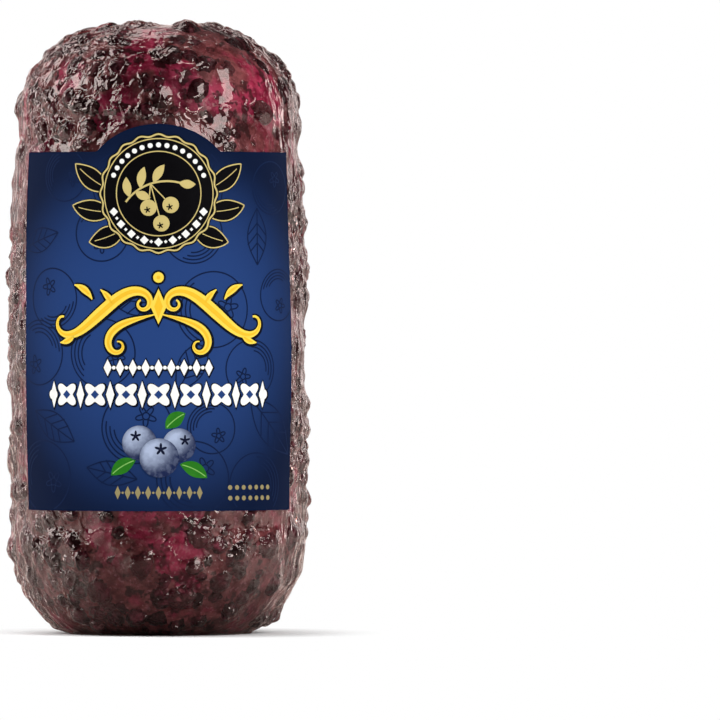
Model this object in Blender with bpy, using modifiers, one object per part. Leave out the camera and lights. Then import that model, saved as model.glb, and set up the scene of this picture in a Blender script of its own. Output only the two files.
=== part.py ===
"""A log of fresh goat cheese, rolled in dried blueberries and sealed in clear film, standing on its end.

The log with its crust is one solid: a smooth core, turned from a profile, with the berries that
stand out fused onto it as lumps, just as the tight film shows them. The label is a thin sheet with
a round tab, bent round the front over a stretch of the crust that it presses flat.

Metres, +Z up. The origin is the middle of the flat spot that the log stands on.
The front, where the label is, faces -Y.
"""

import math
import random

import bmesh
import bpy
from mathutils import Matrix, Vector

MM = 0.001

# The log: overall shape
LOG_HEIGHT = 86.4 * MM
SIDE_RADIUS = 20.5 * MM
TOP_NARROWING = 0.9 * MM  # how much thinner the log is near its top
NARROWING_FROM, NARROWING_TO = 55 * MM, 75 * MM

# Its rounded ends: flat radius, height of the rounding, and how square the rounding is
FOOT_FLAT, FOOT_CORNER, FOOT_POWER = 12.0 * MM, 13.0 * MM, 1.6
HEAD_FLAT, HEAD_CORNER, HEAD_POWER = 5.0 * MM, 12.0 * MM, 2.0

# How far hand rolling leaves the side from a true circle
SWELL = 0.15 * MM

# Mesh density of the core
TURN_STEPS = 44
CORNER_POINTS = 6
SIDE_POINTS = 14

# The label: a rectangle with a round tab on top, measured along the sheet
LABEL_WIDTH = 44.8 * MM
LABEL_FOOT = 17.8 * MM
LABEL_HEIGHT = 50.6 * MM
TAB_HALF_WIDTH = 8.9 * MM
TAB_RISE = 3.9 * MM
LABEL_THICKNESS = 0.2 * MM
LABEL_GAP = 0.3 * MM
LABEL_COLUMNS, LABEL_ROWS = 28, 9

# The crust pressed flat under the label stands this proud of the core, and fades out beside it
PRESSED_CRUST = 0.45 * MM
PRESSED_EDGE = 2.2 * MM

# The berries that stand out: sites on the whole log, and the least and most of each size
BERRY_SITES = 215
SEED = 11
GOLDEN_ANGLE = math.pi * (3 - math.sqrt(5))
BERRY_LONG = (1.9 * MM, 2.8 * MM)  # half length
BERRY_SLIM = (0.72, 0.95)  # half width as a share of the half length
BERRY_FLAT = (0.50, 0.64)  # half thickness as a share of the half length
BERRY_PROUD = (0.45 * MM, 0.95 * MM)  # how far the top stands out of the core
BERRY_SIDES, BERRY_RINGS = 7, 5
BERRY_WRINKLE = 0.09  # depth of the wrinkles as a share of the berry
SITE_JITTER = 1.5 * MM
LABEL_CLEARANCE = 0.5 * MM
FLOOR_CLEARANCE = 0.35 * MM

# Nearer to the axis than this, a turn round it means little
AXIS_ZONE = 4.0 * MM

# Short steps along the outline: how many, and the one that a slope is measured over
OUTLINE_STEPS = 600
SLOPE_STEP = 0.2 * MM


def smoothstep(t):
    """0 below 0, 1 above 1, and a smooth ramp between."""
    t = min(1.0, max(0.0, t))
    return t * t * (3 - 2 * t)


def side_radius(z):
    """Radius of the side at height z, before its ends are rounded."""
    ramp = smoothstep((z - NARROWING_FROM) / (NARROWING_TO - NARROWING_FROM))
    return SIDE_RADIUS - TOP_NARROWING * ramp


def rounded(side, flat, share, power):
    """Radius on a rounded end, where share runs from 0 at the side to 1 at the flat."""
    return flat + (side - flat) * max(0.0, 1 - share**power) ** (1 / power)


def core_radius(z):
    """Radius of the turned core at height z."""
    side = side_radius(z)
    if z < FOOT_CORNER:
        return rounded(side, FOOT_FLAT, 1 - z / FOOT_CORNER, FOOT_POWER)
    if z > LOG_HEIGHT - HEAD_CORNER:
        share = 1 - (LOG_HEIGHT - z) / HEAD_CORNER
        return rounded(side, HEAD_FLAT, share, HEAD_POWER)
    return side


def swell(turn, z):
    """Slow hollows and swellings of the side, as a length. turn is the angle from the front."""
    waves = math.sin(3 * turn + z / (9 * MM)) + math.sin(2 * turn - z / (14 * MM) + 1.1)
    waves += 0.6 * math.sin(5 * turn + z / (6 * MM) + 2.3)
    return SWELL * waves * smoothstep(z / FOOT_CORNER)


def label_top(along):
    """Height of the label's upper edge at this distance from its middle line."""
    top = LABEL_FOOT + LABEL_HEIGHT
    if abs(along) >= TAB_HALF_WIDTH:
        return top
    tab_radius = (TAB_HALF_WIDTH**2 + TAB_RISE**2) / (2 * TAB_RISE)
    return top + math.sqrt(tab_radius**2 - along**2) - (tab_radius - TAB_RISE)


def label_radius(z):
    """Radius at which the label's length round the log is measured: the middle of its sheet."""
    return side_radius(z) + PRESSED_CRUST + LABEL_GAP + LABEL_THICKNESS / 2


def outside_label(turn, z):
    """Distance from the label's outline along the log, 0 or less on the label."""
    along = turn * label_radius(z)
    beside = abs(along) - LABEL_WIDTH / 2
    above = z - label_top(along)
    below = LABEL_FOOT - z
    return max(beside, above, below)


def surface_radius(turn, z):
    """Radius of the bare log in a direction and at a height: core, swell and pressed crust."""
    radius = core_radius(z)
    pressed = 1 - smoothstep(outside_label(turn, z) / PRESSED_EDGE)
    share = (radius / SIDE_RADIUS) ** 2
    return radius + share * swell(turn, z) + PRESSED_CRUST * pressed


def log_point(turn, z, radius):
    """The point at a direction, height and radius. Turn 0 is the front, and it grows to the right."""
    return Vector((radius * math.sin(turn), -radius * math.cos(turn), z))


def clear_scene():
    for obj in list(bpy.data.objects):
        bpy.data.objects.remove(obj, do_unlink=True)


def new_collection(name):
    collection = bpy.data.collections.new(name)
    bpy.context.scene.collection.children.link(collection)
    return collection


def new_object(name, mesh, collection):
    obj = bpy.data.objects.new(name, mesh)
    collection.objects.link(obj)
    return obj


def finish(name, colour, roughness):
    """A Principled material with one colour."""
    material = bpy.data.materials.new(name)
    material.use_nodes = True
    shader = material.node_tree.nodes["Principled BSDF"]
    shader.inputs["Base Color"].default_value = (*colour, 1)
    shader.inputs["Roughness"].default_value = roughness
    shader.inputs["Metallic"].default_value = 0
    return material


def corner_heights(corner, power):
    """Heights along a rounded end, from its flat to the side, close together where it bends."""
    steps = [math.radians(90) * i / CORNER_POINTS for i in range(CORNER_POINTS)]
    return [corner * (1 - math.cos(step) ** (2 / power)) for step in steps]


def profile_points():
    """The core's half outline as (radius, height), from the top of the axis down to the foot."""
    foot = corner_heights(FOOT_CORNER, FOOT_POWER)
    head = [LOG_HEIGHT - rise for rise in corner_heights(HEAD_CORNER, HEAD_POWER)]
    low, high = FOOT_CORNER, LOG_HEIGHT - HEAD_CORNER
    side = [high + (low - high) * i / SIDE_POINTS for i in range(SIDE_POINTS + 1)]
    heights = head + side + foot[::-1]
    return [(0, LOG_HEIGHT)] + [(core_radius(z), z) for z in heights] + [(0, 0)]


def turned_core(collection):
    """The log without its berries: a profile with a Screw, then pushed to the uneven surface."""
    points = [(radius, 0, z) for radius, z in profile_points()]
    mesh = bpy.data.meshes.new("core_profile")
    mesh.from_pydata(points, [(i, i + 1) for i in range(len(points) - 1)], [])
    profile = new_object("core_profile", mesh, collection)
    screw = profile.modifiers.new("turn", "SCREW")
    screw.steps = screw.render_steps = TURN_STEPS
    screw.use_merge_vertices = True
    screw.merge_threshold = 0.00001
    bpy.context.view_layer.update()
    graph = bpy.context.evaluated_depsgraph_get()
    turned = bpy.data.meshes.new_from_object(profile.evaluated_get(graph))
    bpy.data.objects.remove(profile, do_unlink=True)
    for vertex in turned.vertices:
        x, y, z = vertex.co
        radius = math.hypot(x, y)
        if radius > HEAD_FLAT / 2:
            turn = math.atan2(x, -y)
            wanted = radius + surface_radius(turn, z) - core_radius(z)
            vertex.co = log_point(turn, z, wanted)
    return new_object("cheese_log", turned, collection)


def surface_along():
    """The core's outline cut into short steps: (height, radius, area so far) from foot to head."""
    outline = profile_points()[::-1]
    rows = []
    area = 0.0
    lengths = [math.dist(a, b) for a, b in zip(outline, outline[1:])]
    step = sum(lengths) / OUTLINE_STEPS
    for (r0, z0), (r1, z1), length in zip(outline, outline[1:], lengths):
        count = max(1, round(length / step))
        for i in range(count):
            share = (i + 0.5) / count
            radius = r0 + (r1 - r0) * share
            area += radius * length / count
            rows.append((z0 + (z1 - z0) * share, radius, area))
    return rows


def berry_sites():
    """Places of the berries: an even spiral over the whole log, each moved a little."""
    draw = random.Random(SEED)
    rows = surface_along()
    whole = rows[-1][2]
    sites = []
    row = 0
    for i in range(BERRY_SITES):
        wanted = (i + 0.5) / BERRY_SITES * whole
        while rows[row][2] < wanted:
            row += 1
        z, radius, _ = rows[row]
        side_shift = draw.uniform(-SITE_JITTER, SITE_JITTER)
        lift = draw.uniform(-SITE_JITTER, SITE_JITTER)
        turn = math.remainder(i * GOLDEN_ANGLE, math.tau) + side_shift / max(radius, AXIS_ZONE)
        height = z + lift * smoothstep(radius / SIDE_RADIUS)
        sites.append(
            {
                "turn": turn,
                "z": min(LOG_HEIGHT, max(0.0, height)),
                "radius": radius,
                "long": draw.uniform(*BERRY_LONG),
                "slim": draw.uniform(*BERRY_SLIM),
                "flat": draw.uniform(*BERRY_FLAT),
                "proud": draw.uniform(*BERRY_PROUD),
                "spin": draw.uniform(0, math.pi),
                "shape": draw.random(),
            }
        )
    return sites


def surface_frame(site):
    """The point on the bare log under a berry, with the outward direction there."""
    turn, z, radius = site["turn"], site["z"], site["radius"]
    if z > LOG_HEIGHT - SLOPE_STEP or z < SLOPE_STEP:
        up = Vector((0, 0, 1 if z > LOG_HEIGHT / 2 else -1))
        return log_point(turn, z, radius), up
    here = log_point(turn, z, surface_radius(turn, z))
    slope = (core_radius(z + SLOPE_STEP) - core_radius(z - SLOPE_STEP)) / (2 * SLOPE_STEP)
    outward = log_point(turn, 0, 1)
    outward.z = -slope
    return here, outward.normalized()


def berry_matrix(site):
    """Turns a unit ball into the berry: flattened, spun and sunk into the log."""
    here, outward = surface_frame(site)
    half = Vector((1, site["slim"], site["flat"])) * site["long"]
    middle = here + outward * (site["proud"] - half.z)
    stand = outward.to_track_quat("Z", "Y").to_matrix().to_4x4()
    spin = Matrix.Rotation(site["spin"], 4, "Z")
    return Matrix.Translation(middle) @ stand @ spin @ Matrix.Diagonal((*half, 1))


def shrivelled_ball(name, shape):
    """A unit ball whose points are pushed in and out, as a dried berry is."""
    form = bmesh.new()
    bmesh.ops.create_uvsphere(form, u_segments=BERRY_SIDES, v_segments=BERRY_RINGS, radius=1)
    for vertex in form.verts:
        x, y, z = vertex.co
        ripple = math.sin(5 * x + 9 * shape) * math.sin(5 * y - 7 * shape + 3 * z)
        vertex.co *= 1 + BERRY_WRINKLE * ripple
    mesh = bpy.data.meshes.new(name)
    form.to_mesh(mesh)
    form.free()
    return mesh


def clears_label(site):
    """True if the berry lies wholly beside the label."""
    return outside_label(site["turn"], site["z"]) > site["long"] + LABEL_CLEARANCE


def berry_lumps(collection):
    """The berries that stand out of the film: solids for the union, clear of label and floor."""
    lumps = []
    for number, site in enumerate(berry_sites()):
        if not clears_label(site):
            continue
        mesh = shrivelled_ball(f"berry_{number}", site["shape"])
        mesh.transform(berry_matrix(site))
        if min(vertex.co.z for vertex in mesh.vertices) < FLOOR_CLEARANCE:
            bpy.data.meshes.remove(mesh)
            continue
        lumps.append(new_object(f"berry_{number}", mesh, collection))
    return lumps


def fuse(core, lumps, collection):
    """Joins the berries to the core with one Boolean union, then drops them."""
    union = core.modifiers.new("crust", "BOOLEAN")
    union.operation = "UNION"
    union.solver = "EXACT"
    union.operand_type = "COLLECTION"
    union.collection = collection
    bpy.context.view_layer.update()
    graph = bpy.context.evaluated_depsgraph_get()
    fused = bpy.data.meshes.new_from_object(core.evaluated_get(graph))
    core.modifiers.clear()
    core.data = fused
    for lump in lumps:
        bpy.data.objects.remove(lump, do_unlink=True)
    bpy.data.collections.remove(collection)


def label_columns():
    """Distances of the label's columns of points from its middle line: even, two at the tab's foot."""
    half = LABEL_WIDTH / 2
    columns = [half * (2 * i / LABEL_COLUMNS - 1) for i in range(LABEL_COLUMNS + 1)]
    for edge in (-TAB_HALF_WIDTH, TAB_HALF_WIDTH):
        nearest = min(range(len(columns)), key=lambda i: abs(columns[i] - edge))
        columns[nearest] = edge
    return columns


def label_sheet(collection):
    """The label: a flat grid whose upper edge follows the tab, bent round the log, with a thickness."""
    columns = label_columns()
    form = bmesh.new()
    bmesh.ops.create_grid(form, x_segments=LABEL_COLUMNS, y_segments=LABEL_ROWS, size=0.5)
    for vertex in form.verts:
        along = columns[round((vertex.co.x + 0.5) * LABEL_COLUMNS)]
        z = LABEL_FOOT + (label_top(along) - LABEL_FOOT) * (vertex.co.y + 0.5)
        turn = along / label_radius(z)
        vertex.co = log_point(turn, z, surface_radius(turn, z) + LABEL_GAP)
    mesh = bpy.data.meshes.new("label")
    form.to_mesh(mesh)
    form.free()
    sheet = new_object("label", mesh, collection)
    solid = sheet.modifiers.new("paper", "SOLIDIFY")
    solid.thickness = LABEL_THICKNESS
    solid.offset = 1
    return sheet


def build():
    clear_scene()
    parts = new_collection("blueberry_goat_cheese")
    crust = new_collection("crust")
    core = turned_core(parts)
    lumps = berry_lumps(crust)
    fuse(core, lumps, crust)
    core.data.materials.append(finish("berry_crust", (0.075, 0.022, 0.032), 0.25))
    label = label_sheet(parts)
    label.data.materials.append(finish("blue_label", (0.022, 0.045, 0.14), 0.45))


build()
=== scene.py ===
# %% [markdown]
# # A log of blueberry goat cheese, sealed in clear film
#
# The real thing is a hand-sized log of soft white cheese, rolled in dried blueberries until none of
# the white shows. Their juice stains the cheese crimson. Clear film is drawn tight over it, and a
# blue label is stuck on the front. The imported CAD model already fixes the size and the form: one
# solid for the sealed log, one for the label. This script replaces both with what they really are:
# stained cheese, separate berries, a skin of film and a printed label.
#
# Lengths are in metres, +Z is up, and the front faces -Y.

import math
import random

import bpy
import numpy as np
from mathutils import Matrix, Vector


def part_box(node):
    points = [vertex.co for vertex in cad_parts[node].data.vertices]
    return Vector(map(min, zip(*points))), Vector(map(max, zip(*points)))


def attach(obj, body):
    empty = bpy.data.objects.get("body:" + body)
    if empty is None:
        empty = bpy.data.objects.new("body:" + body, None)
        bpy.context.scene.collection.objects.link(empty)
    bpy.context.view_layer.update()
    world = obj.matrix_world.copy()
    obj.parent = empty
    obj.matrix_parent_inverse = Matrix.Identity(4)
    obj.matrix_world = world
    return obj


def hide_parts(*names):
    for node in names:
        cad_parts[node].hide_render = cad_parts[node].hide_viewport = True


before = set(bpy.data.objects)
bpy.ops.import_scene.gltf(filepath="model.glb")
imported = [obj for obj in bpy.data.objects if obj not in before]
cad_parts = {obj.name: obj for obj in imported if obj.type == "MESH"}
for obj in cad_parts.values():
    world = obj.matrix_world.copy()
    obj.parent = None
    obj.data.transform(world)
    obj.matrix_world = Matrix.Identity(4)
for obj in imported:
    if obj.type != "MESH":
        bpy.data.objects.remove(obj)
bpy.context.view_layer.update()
MM = 0.001
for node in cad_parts:
    lowest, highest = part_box(node)
    print(node, "in mm:", [round(float(v) / MM, 2) for v in (*lowest, *highest)])


# %% [markdown]
# ## The form of the log
#
# Everything here lies on one surface, so its formula comes first. It is the same one that the CAD
# model was turned from: a straight side, a square-shouldered foot and a rounder head, with slow
# swellings from rolling by hand. A place on the log is given by two numbers: the turn round it from
# the front, and the distance along its outline from the middle of the foot to the middle of the
# head. A third number, the rise, is how far a point stands out of that surface.

# %% Driving dimensions, as in the CAD model
LOG_HEIGHT = 86.4 * MM
SIDE_RADIUS = 20.5 * MM
TOP_NARROWING = 0.9 * MM
NARROWING_FROM, NARROWING_TO = 55 * MM, 75 * MM
FOOT_FLAT, FOOT_CORNER, FOOT_POWER = 12.0 * MM, 13.0 * MM, 1.6
HEAD_FLAT, HEAD_CORNER, HEAD_POWER = 5.0 * MM, 12.0 * MM, 2.0
SWELL = 0.15 * MM
LABEL_WIDTH, LABEL_HEIGHT = 44.8 * MM, 50.6 * MM
LABEL_FOOT = 17.8 * MM
TAB_HALF_WIDTH, TAB_RISE = 8.9 * MM, 3.9 * MM
LABEL_THICKNESS, LABEL_GAP = 0.2 * MM, 0.3 * MM
PRESSED_CRUST, PRESSED_EDGE = 0.45 * MM, 2.2 * MM
print("log without its crust:", round(2 * SIDE_RADIUS / MM, 1), "mm across")


# %% The log's radius at any height, and its swellings
def smoothstep(t):
    """0 below 0, 1 above 1, and 3 t squared less 2 t cubed between."""
    t = np.clip(t, 0, 1)
    return t * t * (3 - 2 * t)


def side_radius(z):
    """Radius of the side before its ends are rounded: a little less towards the head."""
    ramp = smoothstep((z - NARROWING_FROM) / (NARROWING_TO - NARROWING_FROM))
    return SIDE_RADIUS - TOP_NARROWING * ramp


def rounded(side, flat, share, power):
    """A superellipse from the side, at share 0, to the flat, at share 1."""
    share = np.clip(share, 0, 1)
    return flat + (side - flat) * (1 - share**power) ** (1 / power)


def core_radius(z):
    """Radius of the turned core: the side, with a superellipse at each end."""
    side = side_radius(z)
    foot = rounded(side, FOOT_FLAT, 1 - z / FOOT_CORNER, FOOT_POWER)
    head = rounded(side, HEAD_FLAT, 1 - (LOG_HEIGHT - z) / HEAD_CORNER, HEAD_POWER)
    return np.where(z < FOOT_CORNER, foot, np.where(z > LOG_HEIGHT - HEAD_CORNER, head, side))


def swell(turn, z):
    """Three sine waves round the log, each shifted with height, that fade out at the foot."""
    waves = np.sin(3 * turn + z / (9 * MM)) + np.sin(2 * turn - z / (14 * MM) + 1.1)
    waves = waves + 0.6 * np.sin(5 * turn + z / (6 * MM) + 2.3)
    return SWELL * waves * smoothstep(z / FOOT_CORNER)


# %% The label's outline, and the crust that it presses flat
def label_top(across):
    """Upper edge of the label: level, with an arc of a circle over its middle as the tab."""
    tab_radius = (TAB_HALF_WIDTH**2 + TAB_RISE**2) / (2 * TAB_RISE)
    inside = np.maximum(tab_radius**2 - across**2, 0)
    arc = np.sqrt(inside) - (tab_radius - TAB_RISE)
    return LABEL_FOOT + LABEL_HEIGHT + np.where(np.abs(across) < TAB_HALF_WIDTH, arc, 0)


def label_radius(z):
    """Radius at which lengths round the log are measured on the label: the middle of its sheet."""
    return side_radius(z) + PRESSED_CRUST + LABEL_GAP + LABEL_THICKNESS / 2


def outside_label(turn, z):
    """Distance from the label's outline: the largest of those from its sides, top and foot."""
    across = turn * label_radius(z)
    beside = np.abs(across) - LABEL_WIDTH / 2
    return np.maximum(beside, np.maximum(z - label_top(across), LABEL_FOOT - z))


def bare_rise(turn, z, radius):
    """How far the bare log stands out of its core: swellings, and the flat stretch by the label."""
    pressed = 1 - smoothstep(outside_label(turn, z) / PRESSED_EDGE)
    return (radius / SIDE_RADIUS) ** 2 * swell(turn, z) + PRESSED_CRUST * pressed


# %% The outline in even steps
END_STEPS, SIDE_STEPS, FINE_STEPS = 240, 400, 4000


def half_outline():
    """Radius, height and distance along the outline at even steps from under the foot to the top.

    The ends are cut at even angles, close together where they bend, and then the whole line is
    read again at even distances.
    """
    angle = np.linspace(0, math.pi / 2, END_STEPS)
    foot = FOOT_CORNER * (1 - np.cos(angle) ** (2 / FOOT_POWER))
    head = LOG_HEIGHT - HEAD_CORNER * (1 - np.cos(angle) ** (2 / HEAD_POWER))
    side = np.linspace(FOOT_CORNER, LOG_HEIGHT - HEAD_CORNER, SIDE_STEPS)[1:-1]
    z = np.concatenate([foot, side, head[::-1]])
    radius = np.concatenate([[0], core_radius(z), [0]])
    z = np.concatenate([[0], z, [LOG_HEIGHT]])
    along = np.concatenate([[0], np.cumsum(np.hypot(np.diff(radius), np.diff(z)))])
    even = np.linspace(0, along[-1], FINE_STEPS)
    return np.interp(even, along, radius), np.interp(even, along, z), even


FINE_RADIUS, FINE_HEIGHT, FINE_ALONG = half_outline()
OUTLINE_LENGTH = FINE_ALONG[-1]
print("outline from foot to head:", round(OUTLINE_LENGTH / MM, 1), "mm")


# %% A grid of places all over the log
def around(turn, radius, z):
    """Points at a turn round the axis from the front, a radius and a height, as x, y and z."""
    return np.stack([radius * np.sin(turn), -radius * np.cos(turn), z + 0 * turn], -1)


def outward_slope(along):
    """The outward direction at these distances along the outline, as its radial and upward parts."""
    radial = np.gradient(FINE_HEIGHT, FINE_ALONG)
    upward = -np.gradient(FINE_RADIUS, FINE_ALONG)
    size = np.hypot(radial, upward)
    return np.interp(along, FINE_ALONG, radial / size), np.interp(along, FINE_ALONG, upward / size)


class Skin:
    """Places all over the log: rows from foot to head, columns once round it, no pole rows."""

    def __init__(self, rows, columns):
        even = np.linspace(0, OUTLINE_LENGTH, rows + 2)[1:-1, None]
        self.along = even
        self.radius = np.interp(even, FINE_ALONG, FINE_RADIUS)
        self.height = np.interp(even, FINE_ALONG, FINE_HEIGHT)
        self.radial, self.upward = outward_slope(even)
        self.turn = np.linspace(-math.pi, math.pi, columns, endpoint=False)[None, :]
        self.row_step = even[1, 0] - even[0, 0]
        self.column_step = self.radius * (math.tau / columns)
        self.bare = bare_rise(self.turn, self.height, self.radius)

    def outward(self):
        """The outward direction at every place, as x, y and z."""
        return around(self.turn, self.radial, self.upward)

    def places(self, rise):
        """Points that stand out of the turned core by rise, along the outward direction."""
        return around(self.turn, self.radius + rise * self.radial, self.height + rise * self.upward)


# %% [markdown]
# ## Uneven things need noise
#
# Food has no two places alike, so most of what follows is steered by noise: random numbers on a
# lattice, blended smoothly between its corners. Blender's own Noise Texture does the same for
# shaders, but here it has to move points, so it is worked out on whole numpy arrays. Every table
# has its own seed, so that each run gives the same cheese.

# %% Noise on whole arrays
TABLE_SIZE = 4096
AXIS_KEYS = (73856093, 19349663, 83492791)


def noise(points, cell, seed):
    """Random values at the corners of cubes, blended inside each cube by smoothed nearness, 0 to 1."""
    table = np.random.default_rng(seed).random(TABLE_SIZE)
    scaled = points / cell
    corner = np.floor(scaled).astype(np.int64)
    nearness = smoothstep(scaled - corner)
    total = np.zeros(points.shape[:-1])
    for corner_step in np.ndindex(2, 2, 2):
        weight = np.ones(points.shape[:-1])
        key = np.zeros(points.shape[:-1], np.int64)
        for axis, step in enumerate(corner_step):
            weight *= nearness[..., axis] if step else 1 - nearness[..., axis]
            key ^= (corner[..., axis] + step) * AXIS_KEYS[axis]
        total += weight * table[key % TABLE_SIZE]
    return total


def layered_noise(points, cell, seed, layers=3):
    """Noise, plus noise of half the cell at half the strength, and so on, brought back to 0 to 1."""
    total, strength, full = 0.0, 1.0, 0.0
    for layer in range(layers):
        total = total + strength * noise(points, cell / 2**layer, seed + layer)
        full += strength
        strength /= 2
    return total / full


def creases(points, cell, seed, layers=3):
    """1 along thin wandering lines, where layered noise crosses its middle, falling to 0 beside."""
    return 1 - np.abs(2 * layered_noise(points, cell, seed, layers) - 1)


# %% [markdown]
# ## From arrays to Blender meshes
#
# A surface is a grid of points, so its faces follow from its shape alone: each joins two
# neighbours in one row with the two next to them in the next row. A closed skin wraps round its
# last column, and one point at each pole closes its ends.

# %% Grids into meshes
def grid_faces(rows, columns, wrapped):
    """Corner numbers of the four-sided faces of a grid, wound so that they face outwards."""
    last = columns if wrapped else columns - 1
    row, column = np.meshgrid(np.arange(rows - 1), np.arange(last), indexing="ij")
    following = (column + 1) % columns
    low, high = row * columns, (row + 1) * columns
    corners = [low + column, low + following, high + following, high + column]
    return np.stack(corners, -1).reshape(-1, 4)


def new_piece(name, points, faces, finish, values=None, uv=None):
    """An object at the origin from arrays: points, faces, values of points, and a UV map."""
    mesh = bpy.data.meshes.new(name)
    mesh.from_pydata(points.reshape(-1, 3).tolist(), [], [list(face) for face in faces])
    for title, numbers in (values or {}).items():
        layer = mesh.attributes.new(title, "FLOAT", "POINT")
        layer.data.foreach_set("value", np.ascontiguousarray(numbers, np.float32).ravel())
    if uv is not None:
        corner = np.empty(len(mesh.loops), np.int32)
        mesh.loops.foreach_get("vertex_index", corner)
        layer = mesh.uv_layers.new(name="print")
        layer.data.foreach_set("uv", uv.reshape(-1, 2)[corner].astype(np.float32).ravel())
    mesh.shade_smooth()
    mesh.materials.append(finish)
    piece = bpy.data.objects.new(name, mesh)
    bpy.context.scene.collection.objects.link(piece)
    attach(piece, "root")
    print(name, "has", sum(len(face) - 2 for face in faces), "triangles")
    return piece


def closed_skin(name, skin, rise, finish, values):
    """A whole skin as one closed mesh: the grid, with a fan of triangles to a point at each pole.

    The lower pole lies on the floor, and the upper one stands out as the last row does on average.
    """
    rows, columns = rise.shape
    grid = skin.places(rise).reshape(-1, 3)
    grid[:, 2] = np.maximum(grid[:, 2], 0)
    poles = [[0, 0, 0], [0, 0, LOG_HEIGHT + rise[-1].mean()]]
    column = np.arange(columns)
    following = (column + 1) % columns
    last = (rows - 1) * columns
    low_pole = np.full(columns, rows * columns)
    foot = np.stack([low_pole, following, column], -1)
    head = np.stack([low_pole + 1, last + column, last + following], -1)
    faces = [*grid_faces(rows, columns, True).tolist(), *foot.tolist(), *head.tolist()]
    padded = {title: np.append(field.ravel(), field[[0, -1], 0]) for title, field in values.items()}
    return new_piece(name, np.concatenate([grid, poles]), faces, finish, padded)


# %% [markdown]
# ## Shader maths as Python
#
# Node trees for colour fields are mostly arithmetic, which reads badly as a list of links. Here a
# socket is wrapped in a small class with Python's operators, so that an expression on values adds
# its Math nodes by itself. Every other node comes from one method: its type, its settings, which
# are set first, and the values or links of its sockets.

# %% A value in a shader
class Value:
    """One number of a node tree. Arithmetic on it adds Math nodes."""

    def __init__(self, nodes, socket):
        self.nodes, self.socket = nodes, socket

    def maths(self, operation, *operands):
        """Any operation of the Math node, on numbers and values."""
        return self.nodes.node("ShaderNodeMath", {"operation": operation}, dict(enumerate(operands)))

    def ramp(self, low, high, first=0.0, last=1.0):
        """The first number up to low, the last one from high, and a smooth step between."""
        inputs = dict(enumerate((self, low, high, first, last)))
        return self.nodes.node("ShaderNodeMapRange", {"interpolation_type": "SMOOTHSTEP"}, inputs)

    def __add__(self, other):
        return self.maths("ADD", self, other)

    def __sub__(self, other):
        return self.maths("SUBTRACT", self, other)

    def __rsub__(self, other):
        return self.maths("SUBTRACT", other, self)

    def __mul__(self, other):
        return self.maths("MULTIPLY", self, other)

    def __pow__(self, other):
        return self.maths("POWER", self, other)

    def __abs__(self):
        return self.maths("ABSOLUTE", self)

    __radd__, __rmul__ = __add__, __mul__


# %% The nodes of a material or a world
def opaque(colour):
    """A colour with its alpha, or a link unchanged."""
    return colour if isinstance(colour, Value) else (*colour, 1)


class Nodes:
    """A node tree being made. node() adds any node, and the rest are short ways to call it."""

    def __init__(self, owner, output):
        owner.use_nodes = True
        self.owner, self.tree = owner, owner.node_tree
        self.tree.nodes.clear()
        self.output = self.tree.nodes.new(output)

    def node(self, kind, settings=None, inputs=None, output=0):
        """Adds a node, sets its settings and then its sockets, and gives one of its outputs."""
        made = self.tree.nodes.new(kind)
        for title, setting in (settings or {}).items():
            setattr(made, title, setting)
        for title, value in (inputs or {}).items():
            if isinstance(value, Value):
                self.tree.links.new(value.socket, made.inputs[title])
            else:
                made.inputs[title].default_value = value
        return Value(self, made.outputs[output])

    def xyz(self, vector):
        """The three numbers of a vector, each as a value."""
        parts = self.node("ShaderNodeSeparateXYZ", inputs={0: vector}).socket.node
        return [Value(self, socket) for socket in parts.outputs]

    def ray(self, kind):
        """1 for rays of this kind, such as Camera or Glossy, 0 for all others."""
        return self.node("ShaderNodeLightPath", output=f"Is {kind} Ray")

    def either(self, factor, first, second):
        """The first shader where factor is 0, the second where it is 1."""
        return self.node("ShaderNodeMixShader", inputs={0: factor, 1: first, 2: second})

    def surface(self, shader):
        """Makes this shader what shows, and gives the material or the world."""
        self.tree.links.new(shader.socket, self.output.inputs["Surface"])
        return self.owner


# %% A finish: one material and its nodes
class Finish(Nodes):
    """A material being made."""

    def __init__(self, name):
        super().__init__(bpy.data.materials.new(name), "ShaderNodeOutputMaterial")

    def blend(self, factor, first, second):
        """The first colour where factor is 0, the second where it is 1."""
        inputs = {0: factor, 6: opaque(first), 7: opaque(second)}
        return self.node("ShaderNodeMix", {"data_type": "RGBA"}, inputs, output=2)

    def speckle(self, scale, detail=3, roughness=0.5, stretch=(1, 1, 1), kind="FBM", offset=0):
        """A noise texture in object coordinates, scale features to the metre on an unstretched axis."""
        place = self.node("ShaderNodeTexCoord", output="Object")
        inputs = {"Vector": place, "Scale": stretch, "Location": (offset, offset, offset)}
        moved = self.node("ShaderNodeMapping", inputs=inputs)
        inputs = {"Vector": moved, "Scale": scale, "Detail": detail, "Roughness": roughness}
        return self.node("ShaderNodeTexNoise", {"noise_type": kind}, inputs)

    def attribute(self, title):
        """A value that the mesh stores at its points."""
        return self.node("ShaderNodeAttribute", {"attribute_name": title}, output="Fac")

    def bump(self, height, depth, under=None):
        """A bump of this depth in metres, on top of another one if there is one."""
        inputs = {"Height": height, "Distance": depth, "Strength": 1.0}
        if under is not None:
            inputs["Normal"] = under
        return self.node("ShaderNodeBump", inputs=inputs)

    def principled(self, colour, roughness, specular, relief):
        """The material, with an opaque surface of this colour, roughness, gloss and relief."""
        inputs = {"Base Color": colour, "Roughness": roughness, "Specular IOR Level": specular}
        return self.surface(self.node("ShaderNodeBsdfPrincipled", inputs={**inputs, "Normal": relief}))


# %% [markdown]
# ## Places that the photograph fixes
#
# Most of the crust may be any crust, but a few places catch the eye from the front: crimson
# cheese that lies bare, dark clusters of berries, and film drawn smooth. They are named here once,
# by turn and height, and used for all that follows: to thin or crowd the berries, to colour the
# cheese and to stretch the film. The sides and the back can't be seen, so a seeded draw gives them
# places of the same kinds and sizes.

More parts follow.
